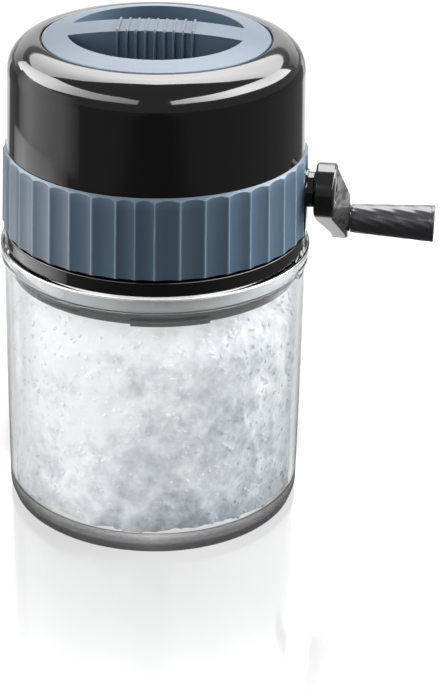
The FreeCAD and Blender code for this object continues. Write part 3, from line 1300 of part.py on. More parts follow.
def make_lid_screws():
    """Two screws that hold the plug under the lid's bar."""
    body = piece("lid_screws")
    body.AllowCompound = True
    spot = ("0.5 * size.lid_screw_spread", "0")
    shank = ring_wall(body, "shank", "XY_Plane", None, "size.lid_screw_radius", "fit.plug_base",
                      "size.plug_floor + size.lid_screw_bite", spot)
    head = ring_wall(body, "head", "XY_Plane", None, "size.lid_screw_head",
                     "fit.plug_base - size.lid_screw_head_height", "size.lid_screw_head_height", spot)
    around(body, "screws", [shank, head], "2")
    place(body, axis=Z_AXIS, angle="size.lid_angle")


# ---------------------------------------------------------------------------------------------------
# Build, check, export
# ---------------------------------------------------------------------------------------------------

make_jar()
make_jar_seal()
make_lower_housing()
make_grip_ring()
make_hood()
make_chamber()
make_bottom_plate()
make_housing_screws()
make_comb("rear_comb", "0")
make_comb("front_comb", "180")
make_comb_screws()
make_bushes()
make_drive_shaft()
for blade_number in range(BLADE_COUNT):
    make_blade(blade_number)
make_spacers()
make_shaft_clip()
make_crank_arm()
make_crank_screw()
make_hub_cap()
make_grip_pin()
make_grip_washer()
make_crank_grip()
make_grip_end_cap()
make_lid_cover()
make_lid_plug()
make_lid_seal()
make_lid_screws()
doc.recompute()

failed = [item.Label for item in doc.Objects if "Invalid" in item.State or "Error" in item.State]
for made in PIECES:
    if made.Shape.isNull() or not made.Shape.isValid() or made.Shape.Volume <= 0:
        failed.append(made.Label)
if failed:
    raise RuntimeError("not sound: " + ", ".join(failed))

os.makedirs("parts", exist_ok=True)
for made in PIECES:
    made.Shape.exportStep("parts/%s.step" % made.Label)
print("%d pieces" % len(PIECES))
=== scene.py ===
# %% [markdown]
# # A hand-cranked ice crusher
# A clear jar stands on the table and a black head locks into its mouth. Ice cubes go in under the
# round lid, and a crank at the side drives the blades inside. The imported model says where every
# piece is; this file gives the pieces their looks. Every mesh is made in metres, where the piece
# really sits.

# %% The frame
import json
import math

import bmesh
import bpy
from mathutils import Matrix, Vector


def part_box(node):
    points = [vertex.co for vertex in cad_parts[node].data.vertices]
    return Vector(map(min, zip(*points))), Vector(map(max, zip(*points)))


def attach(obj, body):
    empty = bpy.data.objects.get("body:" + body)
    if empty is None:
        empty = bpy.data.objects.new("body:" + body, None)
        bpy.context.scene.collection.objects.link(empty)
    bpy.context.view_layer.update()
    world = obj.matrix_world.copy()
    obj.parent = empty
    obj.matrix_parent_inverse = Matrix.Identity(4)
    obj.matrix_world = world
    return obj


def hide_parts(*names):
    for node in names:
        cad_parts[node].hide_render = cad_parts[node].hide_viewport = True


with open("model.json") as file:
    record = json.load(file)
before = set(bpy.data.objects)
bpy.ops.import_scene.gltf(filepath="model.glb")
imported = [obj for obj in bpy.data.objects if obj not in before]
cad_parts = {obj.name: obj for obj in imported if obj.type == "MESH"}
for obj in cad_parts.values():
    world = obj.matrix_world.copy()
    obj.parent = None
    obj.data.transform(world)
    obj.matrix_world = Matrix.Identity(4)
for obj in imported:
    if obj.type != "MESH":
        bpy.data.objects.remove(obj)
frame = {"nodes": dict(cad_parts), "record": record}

MM = 0.001
scene = bpy.context.scene
nodes = frame["nodes"]
body_of_node = {name: body for body, names in frame["record"]["behaviour"]["bodies"].items()
                for name in names}
slot_of_node = {part["node"]: part["material_slot"] for part in frame["record"]["subparts"]}
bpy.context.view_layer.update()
print("nodes in the frame:", len(nodes))

# %% [markdown]
# A long lens from a little above the lid shows the round top and the whole jar at once. The crank
# makes the picture's middle lie beside the jar's axis, so the lens is shifted sideways rather than
# turned, which keeps the jar upright.

# %% Camera
LONG_SIDE = 697
FOCUS_IN_PIXELS = 1934.0
SENSOR = 36.0
VIEW_TURN = math.radians(9.92)
VIEW_DIP = math.radians(26.67)
CAMERA_PLACE = (0.1083, -0.6918, 0.4119)
lens = bpy.data.cameras.new("camera")
lens.sensor_width = SENSOR
lens.lens = FOCUS_IN_PIXELS / LONG_SIDE * SENSOR
lens.shift_x = 0.139
lens.clip_end = 20
camera = bpy.data.objects.new("camera", lens)
scene.collection.objects.link(camera)
scene.camera = camera
sight = Vector((-math.sin(VIEW_TURN) * math.cos(VIEW_DIP),
                math.cos(VIEW_TURN) * math.cos(VIEW_DIP),
                -math.sin(VIEW_DIP)))
camera.location = CAMERA_PLACE
camera.rotation_mode = "QUATERNION"
camera.rotation_quaternion = sight.to_track_quat("-Z", "Y")
print("lens: %.1f mm" % lens.lens)

# %% [markdown]
# A finish is one Principled shader and the nodes that vary it. Writing shader maths as node calls
# is hard to read, so a field wraps a socket: adding or multiplying two fields adds the Math node,
# and the sum reads like a formula.

# %% Fields and finishes


class Field:
    """A number or colour that changes over a surface."""

    def __init__(self, finish, socket):
        self.finish = finish
        self.socket = socket

    def _math(self, operation, first, second):
        return self.finish.node("ShaderNodeMath", (first, second), operation=operation)

    def __add__(self, other):
        return self._math("ADD", self, other)

    def __sub__(self, other):
        return self._math("SUBTRACT", self, other)

    def __rsub__(self, other):
        return self._math("SUBTRACT", other, self)

    def __mul__(self, other):
        return self._math("MULTIPLY", self, other)

    __radd__ = __add__
    __rmul__ = __mul__


class Finish:
    """A material on one Principled shader."""

    def __init__(self, name, sockets):
        self.material = bpy.data.materials.new(name)
        self.material.use_nodes = True
        self.tree = self.material.node_tree
        self.shader = self.tree.nodes["Principled BSDF"]
        self.output = self.tree.nodes["Material Output"]
        self.vary(sockets)

    def vary(self, sockets):
        for name, amount in sockets.items():
            self.plug(self.shader.inputs[name], amount)

    def plug(self, entry, amount):
        if isinstance(amount, Field):
            self.tree.links.new(amount.socket, entry)
        elif entry.type == "RGBA" and len(amount) == 3:
            entry.default_value = (*amount, 1)
        else:
            entry.default_value = amount

    def node(self, kind, inputs=(), output=0, stops=None, **settings):
        """Any node: its settings first, then what goes into its sockets, by number or by name."""
        made = self.tree.nodes.new(kind)
        for name, setting in settings.items():
            setattr(made, name, setting)
        if stops:
            for element, (place, colour) in zip(made.color_ramp.elements, stops):
                element.position, element.color = place, (*colour, 1)
        for name, amount in (inputs.items() if isinstance(inputs, dict) else enumerate(inputs)):
            self.plug(made.inputs[name], amount)
        return Field(self, made.outputs[output])

    def place(self, stretch=(1, 1, 1), turn=(0, 0, 0)):
        """Object coordinates in metres, turned, then stretched for a pattern that runs one way."""
        spot = self.node("ShaderNodeTexCoord", output="Object")
        turned = self.node("ShaderNodeMapping", {"Vector": spot, "Rotation": turn})
        return self.node("ShaderNodeMapping", {"Vector": turned, "Scale": stretch})

    def reach(self):
        """The distance from the jar's axis, in metres."""
        return self.node("ShaderNodeVectorMath", (self.place((1, 1, 0)),), output="Value",
                         operation="LENGTH")

    def rise(self):
        """The height above the table, in metres."""
        return self.node("ShaderNodeSeparateXYZ", (self.place(),), output="Z")

    def noise(self, per_metre, detail, stretch=(1, 1, 1), turn=(0, 0, 0)):
        return self.node("ShaderNodeTexNoise", {
            "Vector": self.place(stretch, turn), "Scale": per_metre, "Detail": detail})

    def ramp(self, field, low, high, dark=(0, 0, 0), light=(1, 1, 1)):
        return self.node("ShaderNodeValToRGB", (field,), stops=((low, dark), (high, light)))

    def mix(self, share, first, second):
        return self.node("ShaderNodeMix", {0: share, 6: first, 7: second}, output=2,
                         data_type="RGBA")

    def bump(self, height, distance, strength):
        return self.node("ShaderNodeBump", {
            "Height": height, "Distance": distance, "Strength": strength})

    def swap(self, share, other):
        """Show another shader in place of the main one, where the share is 1."""
        either = self.tree.nodes.new("ShaderNodeMixShader")
        self.tree.links.new(share, either.inputs[0])
        self.tree.links.new(self.shader.outputs[0], either.inputs[1])
        self.tree.links.new(other, either.inputs[2])
        self.tree.links.new(either.outputs[0], self.output.inputs["Surface"])


def light_path(tree, *kinds):
    """A socket that is 1 for rays of these kinds."""
    rays = tree.nodes.new("ShaderNodeLightPath")
    total = rays.outputs[kinds[0]]
    for kind in kinds[1:]:
        add = tree.nodes.new("ShaderNodeMath")
        tree.links.new(total, add.inputs[0])
        tree.links.new(rays.outputs[kind], add.inputs[1])
        total = add.outputs[0]
    return total


def screen(red, green, blue):
    """The shader's colour for the values that a screen shows, from 0 to 255."""
    return tuple(((level / 255 + 0.055) / 1.055) ** 2.4 if level > 10 else level / 255 / 12.92
                 for level in (red, green, blue))


print("grey 128 on screen is %.3f in the shader" % screen(128, 128, 128)[0])

# %% [markdown]
# A moulding's finish is that of its mould. The hood is black ABS from a polished one: nearly black,
# a sharp gloss, and only the faintest waviness and dust-fine scratches. The ring and the lid come
# from an eroded mould, which leaves a fine satin grain. The ring's ridges and lip get a painted
# highlight: their colour is made paler where light would catch them. The insides are plain black
# satin, and the grip is the same plastic with the shine that hands give it.

# %% Plastic finishes
# The colour of the painted highlight on the ring's ridges and lip.
RIDGE_HIGHLIGHT_GREY = (76, 89, 99)


def gloss_black():
    finish = Finish("gloss_black_plastic", {"Base Color": (0.0012, 0.0011, 0.0012), "IOR": 1.5})
    wear = finish.noise(900, 6, (1, 1, 0.15))
    finish.vary({
        "Roughness": 0.045 + wear * 0.05,
        "Normal": finish.bump(finish.noise(45, 1), 0.00002, 0.35),
    })
    return finish.material


def moulded(name, refraction, dark, light, cloud, grain, rough, relief):
    """Two near tones in clouds, and a grain that both roughens the surface and stands out from it.

    Cloud and grain are noises: how many per metre, and their detail. Rough is the least
    roughness and what the grain adds. Relief is the grain's height in metres and its strength.
    """
    finish = Finish(name, {"IOR": refraction})
    grain = finish.noise(*grain)
    finish.colour = finish.mix(finish.noise(*cloud), screen(*dark), screen(*light))
    finish.vary({
        "Base Color": finish.colour,
        "Roughness": rough[0] + grain * rough[1],
        "Normal": finish.bump(grain, *relief),
    })
    return finish


def satin_black(name, least_rough):
    return moulded(name, 1.5, (40, 40, 43), (49, 49, 53), cloud=(60, 3), grain=(2600, 2),
                   rough=(least_rough, 0.14), relief=(0.00006, 0.5)).material


def blue_grey(name, refraction, dark, light):
    return moulded(name, refraction, dark, light, cloud=(35, 4), grain=(3200, 2),
                   rough=(0.28, 0.1), relief=(0.00004, 0.4))


def ridge_highlight(finish, foot, lean, lip):
    """A painted highlight: the finish made paler on ridges that come near to a cone,
    and a little paler on the lip above.

    The cone is given by its radius at the table in millimetres and its lean, the lip by its height.
    """
    height = finish.rise()
    depth = (finish.reach() + height * lean) * -1000.0 + foot
    # Painted highlight: the colour is made paler on the ridges and on the lip, where light would
    # catch them.
    on_ridge = finish.ramp(depth, 0.32, 0.46, (1, 1, 1), (0, 0, 0))
    on_lip = finish.ramp(height, lip, lip + 0.2 * MM)
    paler = on_ridge + on_lip * 0.3
    finish.vary({"Base Color": finish.mix(paler, finish.colour, screen(*RIDGE_HIGHLIGHT_GREY))})
    return finish


def etched_black():
    """The crank's arm: glossy black, but for an etched and mottled skin on its outer face."""
    finish = Finish("etched_black_plastic", {"Base Color": (0.004, 0.004, 0.004), "IOR": 1.5})
    mottle = finish.noise(380, 2, (1, 0.14, 1), (0.15, 0, 0))
    normal = finish.node("ShaderNodeTexCoord", output="Normal")
    facing = finish.node("ShaderNodeSeparateXYZ", (normal,))
    outer = finish.ramp(facing, 0.7, 0.9)
    rough = finish.ramp(mottle, 0.4, 0.6, (0.16, 0.16, 0.16), (0.42, 0.42, 0.42))
    finish.vary({
        "Roughness": finish.mix(outer, (0.13, 0.13, 0.13), rough),
        "Normal": finish.bump(mottle * outer, 0.0003, 0.5),
    })
    return finish.material


def white_plastic():
    return moulded("white_bearing_plastic", 1.5, (222, 221, 214), (233, 232, 226), cloud=(120, 3),
                   grain=(1800, 2), rough=(0.38, 0.1), relief=(0.00003, 0.3)).material


def pale_silicone():
    return moulded("pale_silicone", 1.42, (118, 121, 124), (134, 137, 139), cloud=(90, 3),
                   grain=(1500, 3), rough=(0.42, 0.15), relief=(0.00005, 0.4)).material


# %% [markdown]
# The blades and combs are stainless sheet. Rolling and deburring leave lines that run one way, so
# the noise is squeezed along the sheet. The jar is clear acrylic: light has to reach the ice
# through it, so shadow and diffuse rays pass it as if it weren't there, and only what the eye sees
# is refracted. Where the wall is seen along its surface its colour is painted grey, and a dark
# colour painted low in the thick foot makes its dark edge: both are painted shade.

# %% Steel, clear plastic


def brushed_steel():
    finish = Finish("brushed_steel", {"Metallic": 1.0})
    lines = finish.noise(420, 5, (6, 0.4, 6))
    stain = finish.noise(70, 4)
    finish.vary({
        "Base Color": finish.mix(stain, screen(186, 188, 190), screen(208, 209, 210)),
        "Roughness": 0.2 + lines * 0.2,
        "Normal": finish.bump(lines, 0.00003, 0.5),
    })
    return finish.material


JAR_FLOOR = 7.5
FOOT_BORE = 53.5


def clear_plastic():
    finish = Finish("clear_acrylic", {"IOR": 1.49, "Transmission Weight": 1.0})
    at_the_side = finish.node("ShaderNodeLayerWeight", output="Facing")
    # Painted shade: the colour is greyer where the wall is seen along its surface.
    side_shade = finish.ramp(at_the_side, 0.4, 0.6, (0.985, 0.992, 0.995), (0.56, 0.57, 0.57))
    # Painted shade: a dark colour low in the foot's outer ring makes the foot's dark edge.
    above_foot = finish.ramp(finish.rise(), 0.66 * JAR_FLOOR * MM, 0.8 * JAR_FLOOR * MM)
    inside_foot = finish.ramp(finish.reach(), FOOT_BORE * MM, (FOOT_BORE + 0.5) * MM,
                              (1, 1, 1), (0, 0, 0))
    clear = above_foot + inside_foot
    finish.vary({
        "Base Color": finish.mix(clear, (0.07, 0.06, 0.07), side_shade),
        "Roughness": finish.ramp(finish.noise(800, 5), 0.62, 0.85, light=(0.09, 0.09, 0.09)),
        "Normal": finish.bump(finish.noise(28, 1), 0.00003, 0.25),
    })
    passed = finish.node("ShaderNodeBsdfTransparent", {"Color": (0.96, 0.97, 0.975)})
    finish.swap(light_path(finish.tree, "Is Shadow Ray", "Is Diffuse Ray"), passed.socket)
    return finish.material


materials = {
    "black_gloss": gloss_black(),
    "black_satin": satin_black("satin_black_plastic", 0.38),
    "grip": satin_black("handled_black_plastic", 0.17),
    "lid": blue_grey("blue_grey_lid", 1.35, (49, 61, 73), (55, 68, 81)).material,
    "white_plastic": white_plastic(),
    "silicone": pale_silicone(),
    "etched": etched_black(),
    "steel": brushed_steel(),
    "clear_plastic": clear_plastic(),
}
print("finishes:", ", ".join(materials))

# %% [markdown]
# Most of the pieces are round. A lathe shape needs only its outline: corners with a radius become
# arcs, and a pair of extra points beside each end of a straight run keeps the shading flat there,
# because shading is smoothed from point to point.

# %% Outlines with rounded corners
ARC_STEP = math.radians(11)
SUPPORT = 0.35


def arc_points(here, before, after, radius):
    """The points of the round between two runs that meet in a corner."""
    back, on = (before - here).normalized(), (after - here).normalized()
    half = back.angle(on) / 2
    centre = here + (back + on).normalized() * (radius / math.sin(half))
    start = here + back * (radius / math.tan(half)) - centre
    sweep = math.pi - 2 * half
    side = 1 if back.cross(on) < 0 else -1
    count = max(2, math.ceil(sweep / ARC_STEP))
    return [centre + Matrix.Rotation(side * sweep * step / count, 2) @ start
            for step in range(count + 1)]


def rounded(corners):
    """A closed outline in millimetres from (across, up) or (across, up, radius)."""
    flat = [Vector(corner[:2]) for corner in corners]
    points = []
    for index, corner in enumerate(corners):
        if len(corner) == 3:
            after = flat[(index + 1) % len(flat)]
            points += arc_points(flat[index], flat[index - 1], after, corner[2])
        else:
            points.append(flat[index])
    supported = []
    for index, point in enumerate(points):
        after = points[(index + 1) % len(points)]
        supported.append(point)
        run = after - point
        if run.length > 6 * SUPPORT:
            step = run.normalized() * SUPPORT
            supported += [point + step, after - step]
    return supported


test_square = rounded([(0, 0, 1), (10, 0, 1), (10, 10, 1), (0, 10, 1)])
print("a rounded square has %d points" % len(test_square))

# %% Pieces from outlines
SMOOTH_UNDER = math.radians(32)


def thing(name, data):
    made = bpy.data.objects.new(name, data)
    scene.collection.objects.link(made)
    return made


def shaded(piece):
    """The piece, smooth but for its real edges."""
    piece.data.shade_smooth()
    piece.data.set_sharp_from_angle(angle=SMOOTH_UNDER)
    return piece


def plain(shape, name):
    """A piece from a bmesh, which is used up."""
    mesh = bpy.data.meshes.new(name)
    shape.to_mesh(mesh)
    shape.free()
    return thing(name, mesh)


def finished(shape, name):
    """A shaded piece from a bmesh: doubles merged and faces turned outwards."""
    bmesh.ops.remove_doubles(shape, verts=shape.verts, dist=1e-6)
    bmesh.ops.recalc_face_normals(shape, faces=shape.faces)
    return shaded(plain(shape, name))


def polar(radius, angle):
    return radius * math.cos(angle), radius * math.sin(angle)


def spun(name, corners, around=240, turn=None, move=None):
    """A turned shape; corners run round its section in millimetres, with the axis at across = 0."""
    points = rounded(corners)
    shape = bmesh.new()
    rings = []
    for point in points:
        if point.x < 1e-6:
            rings.append([shape.verts.new((0, 0, point.y * MM))] * around)
        else:
            ring = [polar(point.x * MM, 2 * math.pi * step / around) for step in range(around)]
            rings.append([shape.verts.new((x, y, point.y * MM)) for x, y in ring])
    for index, ring in enumerate(rings):
        other = rings[(index + 1) % len(rings)]
        for step in range(around):
            after = (step + 1) % around
            face = list(dict.fromkeys((ring[step], ring[after], other[after], other[step])))
            if len(face) > 2:
                shape.faces.new(face)
    if turn:
        bmesh.ops.transform(shape, matrix=turn, verts=shape.verts)
    if move:
        bmesh.ops.translate(shape, vec=Vector(move) * MM, verts=shape.verts)
    return finished(shape, name)


def prism(name, outline, base, top):
    """An upright block on a closed outline of (x, y) in millimetres."""
    shape = bmesh.new()
    low = [shape.verts.new((x * MM, y * MM, base * MM)) for x, y in outline]
    high = [shape.verts.new((x * MM, y * MM, top * MM)) for x, y in outline]
    shape.faces.new(low)
    shape.faces.new(high)
    for index in range(len(low)):
        after = (index + 1) % len(low)
        shape.faces.new((low[index], low[after], high[after], high[index]))
    return finished(shape, name)


def sector(name, inner, outer, base, top, middle, width, steps=10):
    """A block that fills some degrees of a ring, in millimetres and degrees."""
    angles = [math.radians(middle + width * (step / steps - 0.5)) for step in range(steps + 1)]
    outline = [polar(outer, angle) for angle in angles]
    outline += [polar(inner, angle) for angle in reversed(angles)]
    return prism(name, outline, base, top)


def settled(piece):
    """The piece with its modifiers made into its mesh."""
    bpy.context.view_layer.update()
    evaluated = piece.evaluated_get(bpy.context.evaluated_depsgraph_get())
    mesh = bpy.data.meshes.new_from_object(evaluated)
    piece.modifiers.clear()
    piece.data = mesh
    return piece


def combine(piece, tools, operation):
    """Cut tools from a piece, or weld them to it; the tools are used up."""
    for tool in tools:
        step = piece.modifiers.new(operation, "BOOLEAN")
        step.operation = operation
        step.object = tool
        step.solver = "EXACT"
    settled(piece)
    for tool in tools:
        bpy.data.objects.remove(tool)
    return shaded(piece)


def add_shells(piece, *parts):
    """Put the meshes of other pieces into a piece as they are; the other pieces are used up."""
    shape = bmesh.new()
    shape.from_mesh(piece.data)
    for part in parts:
        shape.from_mesh(part.data)
        bpy.data.objects.remove(part)
    shape.to_mesh(piece.data)
    shape.free()


def soften(piece, width, segments=2, angle=40):
    """Light-catching edges: a small bevel in millimetres, with the flat faces kept flat."""
    step = piece.modifiers.new("edges", "BEVEL")
    step.width = width * MM
    step.segments = segments
    step.limit_method = "ANGLE"
    step.angle_limit = math.radians(angle)
    step.harden_normals = False
    weight = piece.modifiers.new("shading", "WEIGHTED_NORMAL")
    weight.keep_sharp = True
    return settled(piece)


def dress(piece, *names, slot=None, finish=None):
    """Let a piece stand for its nodes: same body, and the finish of the nodes' slot."""
    slot = slot or slot_of_node[names[0]]
    piece.data.materials.clear()
    piece.data.materials.append(materials[finish or slot])
    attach(piece, body_of_node[names[0]])
    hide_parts(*names)
    print("%-18s %6d faces, for %s" % (piece.name, len(piece.data.polygons), ", ".join(names)))
    return piece


# %% [markdown]
# What repeats round the jar's axis, such as flutes, lugs and notches, is made once and set out by a
# Geometry Nodes tree. The tree turns a copy for each point, joins what touches and gives it a
# material.

# %% Geometry Nodes: copies round the axis and along a line


def node_group(title, inputs):
    """A Geometry Nodes tree with a geometry input and output, and named inputs."""
    group = bpy.data.node_groups.new(title, "GeometryNodeTree")
    group.interface.new_socket("Geometry", in_out="OUTPUT", socket_type="NodeSocketGeometry")
    group.interface.new_socket("Geometry", in_out="INPUT", socket_type="NodeSocketGeometry")
    for name, kind, amount in inputs:
        socket = group.interface.new_socket(name, in_out="INPUT", socket_type="NodeSocket" + kind)
        if amount is not None:
            socket.default_value = amount
    start = group.nodes.new("NodeGroupInput").outputs
    end = group.nodes.new("NodeGroupOutput").inputs["Geometry"]
    return group, start, end


def grow(group, kind, inputs, **settings):
    """A node in a group, with its sockets linked or set."""
    made = group.nodes.new(kind)
    for name, setting in settings.items():
        setattr(made, name, setting)
    for name, amount in inputs.items():
        if isinstance(amount, bpy.types.NodeSocket):
            group.links.new(amount, made.inputs[name])
        else:
            made.inputs[name].default_value = amount
    return made.outputs


def end_group(group, instances, start, end, merge=None):
    """Real meshes with a material: the last nodes of every tree."""
    out = grow(group, "GeometryNodeRealizeInstances", {"Geometry": instances})["Geometry"]
    if merge:
        out = grow(group, "GeometryNodeMergeByDistance", {"Geometry": out, "Distance": merge})[0]
    out = grow(group, "GeometryNodeSetMaterial", {"Geometry": out, "Material": start["Material"]})
    group.links.new(out["Geometry"], end)


def round_axis_group():
    group, start, end = node_group("round_the_axis", (
        ("Count", "Int", 3), ("Step", "Float", 2.0), ("First", "Float", 0.0),
        ("Material", "Material", None)))
    spots = grow(group, "GeometryNodeMeshLine", {
        "Count": start["Count"], "Offset": (0, 0, 0)})["Mesh"]
    number = grow(group, "GeometryNodeInputIndex", {})["Index"]
    turn = grow(group, "ShaderNodeMath", {0: number, 1: start["Step"], 2: start["First"]},
                operation="MULTIPLY_ADD")[0]
    angles = grow(group, "ShaderNodeCombineXYZ", {"Z": turn})[0]
    rotation = grow(group, "FunctionNodeEulerToRotation", {"Euler": angles})[0]
    copies = grow(group, "GeometryNodeInstanceOnPoints", {
        "Points": spots, "Instance": start["Geometry"], "Rotation": rotation})["Instances"]
    end_group(group, copies, start, end, merge=1e-6)
    return group


def in_line_group():
    group, start, end = node_group("in_a_line", (
        ("Count", "Int", 3), ("First", "Vector", (0, 0, 0)), ("Step", "Vector", (0, 0, 0)),
        ("Material", "Material", None)))
    spots = grow(group, "GeometryNodeMeshLine", {
        "Count": start["Count"], "Start Location": start["First"], "Offset": start["Step"]})["Mesh"]
    copies = grow(group, "GeometryNodeInstanceOnPoints", {
        "Points": spots, "Instance": start["Geometry"]})["Instances"]
    end_group(group, copies, start, end)
    return group


round_the_axis = round_axis_group()
in_a_line = in_line_group()


def repeat(unit, group, name, **amounts):
    """Run a tree on a unit and keep the plain mesh; the unit is used up."""
    step = unit.modifiers.new("copies", "NODES")
    step.node_group = group
    for item in group.interface.items_tree:
        if item.in_out == "INPUT" and item.name in amounts:
            step[item.identifier] = amounts[item.name]
    settled(unit)
    unit.name = name
    return unit


def round_axis(unit, name, count, step, first=0.0, slot="black_gloss"):
    return repeat(unit, round_the_axis, name, Count=count, Step=math.radians(step),
                  First=math.radians(first), Material=materials[slot])


print("trees:", round_the_axis.name, in_a_line.name)

# %% [markdown]
# ## The hood
# The hood is one moulded shell. Its side leans in by a degree, so that it leaves the mould, and a
# wide round leads to the top, where a recess takes the lid. A lathe outline gives all of that. The
# neck has three gates for the lid's lugs, cut with sector blocks, and four screw bosses inside the
# shoulder.

# %% Hood
HOOD_BASE, HOOD_TOP, SEAM_TOP = 149.2, 189.9, 191.1
SEAM, NECK = 43.7, 40.0
SCREW_CIRCLE, SCREW_HOLE, SCREW_BOSS = 49.2, 1.55, 5.6
hood = spun("hood", [
    (54.75, HOOD_BASE), (57.35, HOOD_BASE, 0.35), (56.1, HOOD_TOP, 11.5), (SEAM, SEAM_TOP, 0.5),
    (SEAM, 187.6), (NECK, 187.6, 0.4), (NECK, 180.5, 0.4), (42.4, 180.5, 0.4), (42.4, 185.0),
    (46.3, 185.0), (46.3, 187.3), (53.5, 187.3, 6.0)], around=320)
gate = sector("gate", 39.0, 41.3, 179.5, 188.1, 0, 20)
combine(hood, [round_axis(gate, "gates", 3, 120)], "DIFFERENCE")
screw_boss = spun("boss", [
    (SCREW_HOLE, 150.45), (SCREW_BOSS, 150.45), (SCREW_BOSS, 163.95), (SCREW_HOLE, 163.95)],
    around=32, move=(SCREW_CIRCLE, 0, 0))
add_shells(hood, round_axis(screw_boss, "hood_bosses", 4, 90, 45))
dress(hood, "hopper_hood")

# %% [markdown]
# ## The housing
# Under the ring, the housing shows as a black band over the jar and as a skirt inside the jar's
# mouth. A pillar fills the ring's slot, and the boss on it carries the shaft. The pieces of one
# moulding may overlap here, because black plastic hides where they meet.

# %% Housing
CRANK_HEIGHT = 133.8
PILLAR_HALF = 8.0
LAY_ALONG_X = Matrix.Rotation(math.radians(90), 4, "Y")
STAND_ON_X = Matrix(((0, 0, 1, 0), (1, 0, 0, 0), (0, 1, 0, 0), (0, 0, 0, 1)))


def arched_block(name, half_width, foot, inner, outer):
    """A block with an arched top round the crank's axis, from an inner to an outer distance."""
    outline = [(-half_width, -foot), (half_width, -foot)]
    outline += [polar(half_width, math.radians(step)) for step in range(0, 181, 6)]
    block = prism(name, outline, inner, outer)
    block.data.transform(STAND_ON_X)
    block.data.transform(Matrix.Translation((0, 0, CRANK_HEIGHT * MM)))
    return block


housing = spun("housing", [
    (52.3, 98.0), (55.3, 98.0, 0.5), (55.3, 103.4, 0.3), (53.95, 103.4), (53.95, 110.6),
    (58.9, 110.6, 0.5), (58.9, 116.4, 0.6), (56.9, 116.4), (56.9, 149.2), (54.4, 149.2),
    (54.4, 113.2), (52.3, 113.2)], around=320)
lug = sector("lug", 54.8, 56.8, 98.0, 100.2, 45, 30)
pillar = soften(arched_block("pillar", PILLAR_HALF, 17.4, 55.4, 59.4), 0.4)
boss = spun("boss", [
    (6.25, -12.5), (9.0, -12.5), (9.0, -3.5), (6.9, -3.5), (6.9, 0, 0.5), (6.25, 0)],
    around=96, turn=LAY_ALONG_X, move=(61.9, 0, CRANK_HEIGHT))
screw_lug = spun("screw_lug", [
    (SCREW_HOLE, 144.95), (SCREW_BOSS, 144.95, 0.3), (SCREW_BOSS, 147.95), (SCREW_HOLE, 147.95)],
    around=32, move=(SCREW_CIRCLE, 0, 0))
add_shells(housing, round_axis(lug, "housing_lugs", 3, 120), pillar, boss,
           round_axis(screw_lug, "screw_lugs", 4, 90, 45))
dress(shaded(housing), "lower_housing")

# %% [markdown]
# ## The grip ring
# Hollow flutes with crisp ridges let a wet hand turn the head. One flute is a formula: the ring's
# radius, less where a leaning cylinder cuts into it, up to the sloping lip. One wide flute is
# repeated by the tree, a narrow pair fills the rest at the front, and an arch is cut out for the
# pillar.

# %% Grip ring
RING_BASE, RING_END, RING_LIP = 117.5, 149.05, 1.7
RING, RING_TAPER, FLUTE_DEPTH = 60.0, 1.0, 1.0
RING_BORE, LIP_RADIUS, FOOT_CHAMFER = 57.2, 57.35, 0.25
WIDE_PITCH, WIDE_COUNT, WIDE_HOLLOW = 9.113, 38, 20.0
NARROW_PITCH, NARROW_COUNT, NARROW_HOLLOW = 6.85, 2, 11.0
FRONT = -88.15
SLOT_HALF = 8.3
lip_start = RING_END - RING_LIP
lean = RING_TAPER / (lip_start - RING_BASE)
ring_grey = blue_grey("blue_grey_satin", 1.42, (41, 52, 63), (46, 59, 70))
# The ring's colour, with a painted highlight on its ridges and lip.
highlit_ring = ridge_highlight(ring_grey, RING + lean * RING_BASE, lean, lip_start * MM)
materials["blue_grey"] = highlit_ring.material


def ring_reach(angle, height, hollow):
    """The ring's outer radius at an angle from a flute's middle and at a height."""
    cone = RING - lean * (height - RING_BASE)
    axis = cone + hollow - FLUTE_DEPTH
    sideways = axis * math.sin(angle)
    flute = axis * math.cos(angle) - math.sqrt(max(hollow ** 2 - sideways ** 2, 0))
    if height > lip_start:
        share = (height - lip_start) / RING_LIP
        cone = (RING - RING_TAPER) * (1 - share) + LIP_RADIUS * share
    return min(cone, flute)


def one_flute(pitch, hollow, steps):
    """One flute's stretch of the ring, open where the next one joins."""
    heights = [RING_BASE, RING_BASE + FOOT_CHAMFER, RING_BASE + 0.6, 123, 129, 135, 141, 146,
               lip_start - 0.2, lip_start + 0.05]
    heights += [lip_start + RING_LIP * step / 7 for step in range(1, 8)]
    shape = bmesh.new()
    columns = []
    for step in range(steps + 1):
        angle = math.radians(pitch) * (step / steps - 0.5)
        column = []
        for height in heights:
            reach = ring_reach(angle, height, hollow)
            if height == RING_BASE:
                reach -= FOOT_CHAMFER
            column.append((max(reach, LIP_RADIUS), height))
        column += [(RING_BORE, RING_END), (RING_BORE, RING_BASE)]
        columns.append([shape.verts.new((*polar(reach * MM, angle), height * MM))
                        for reach, height in column])
    for left, right in zip(columns, columns[1:]):
        for index in range(len(left)):
            after = (index + 1) % len(left)
            shape.faces.new((left[index], right[index], right[after], left[after]))
    return plain(shape, "flute")


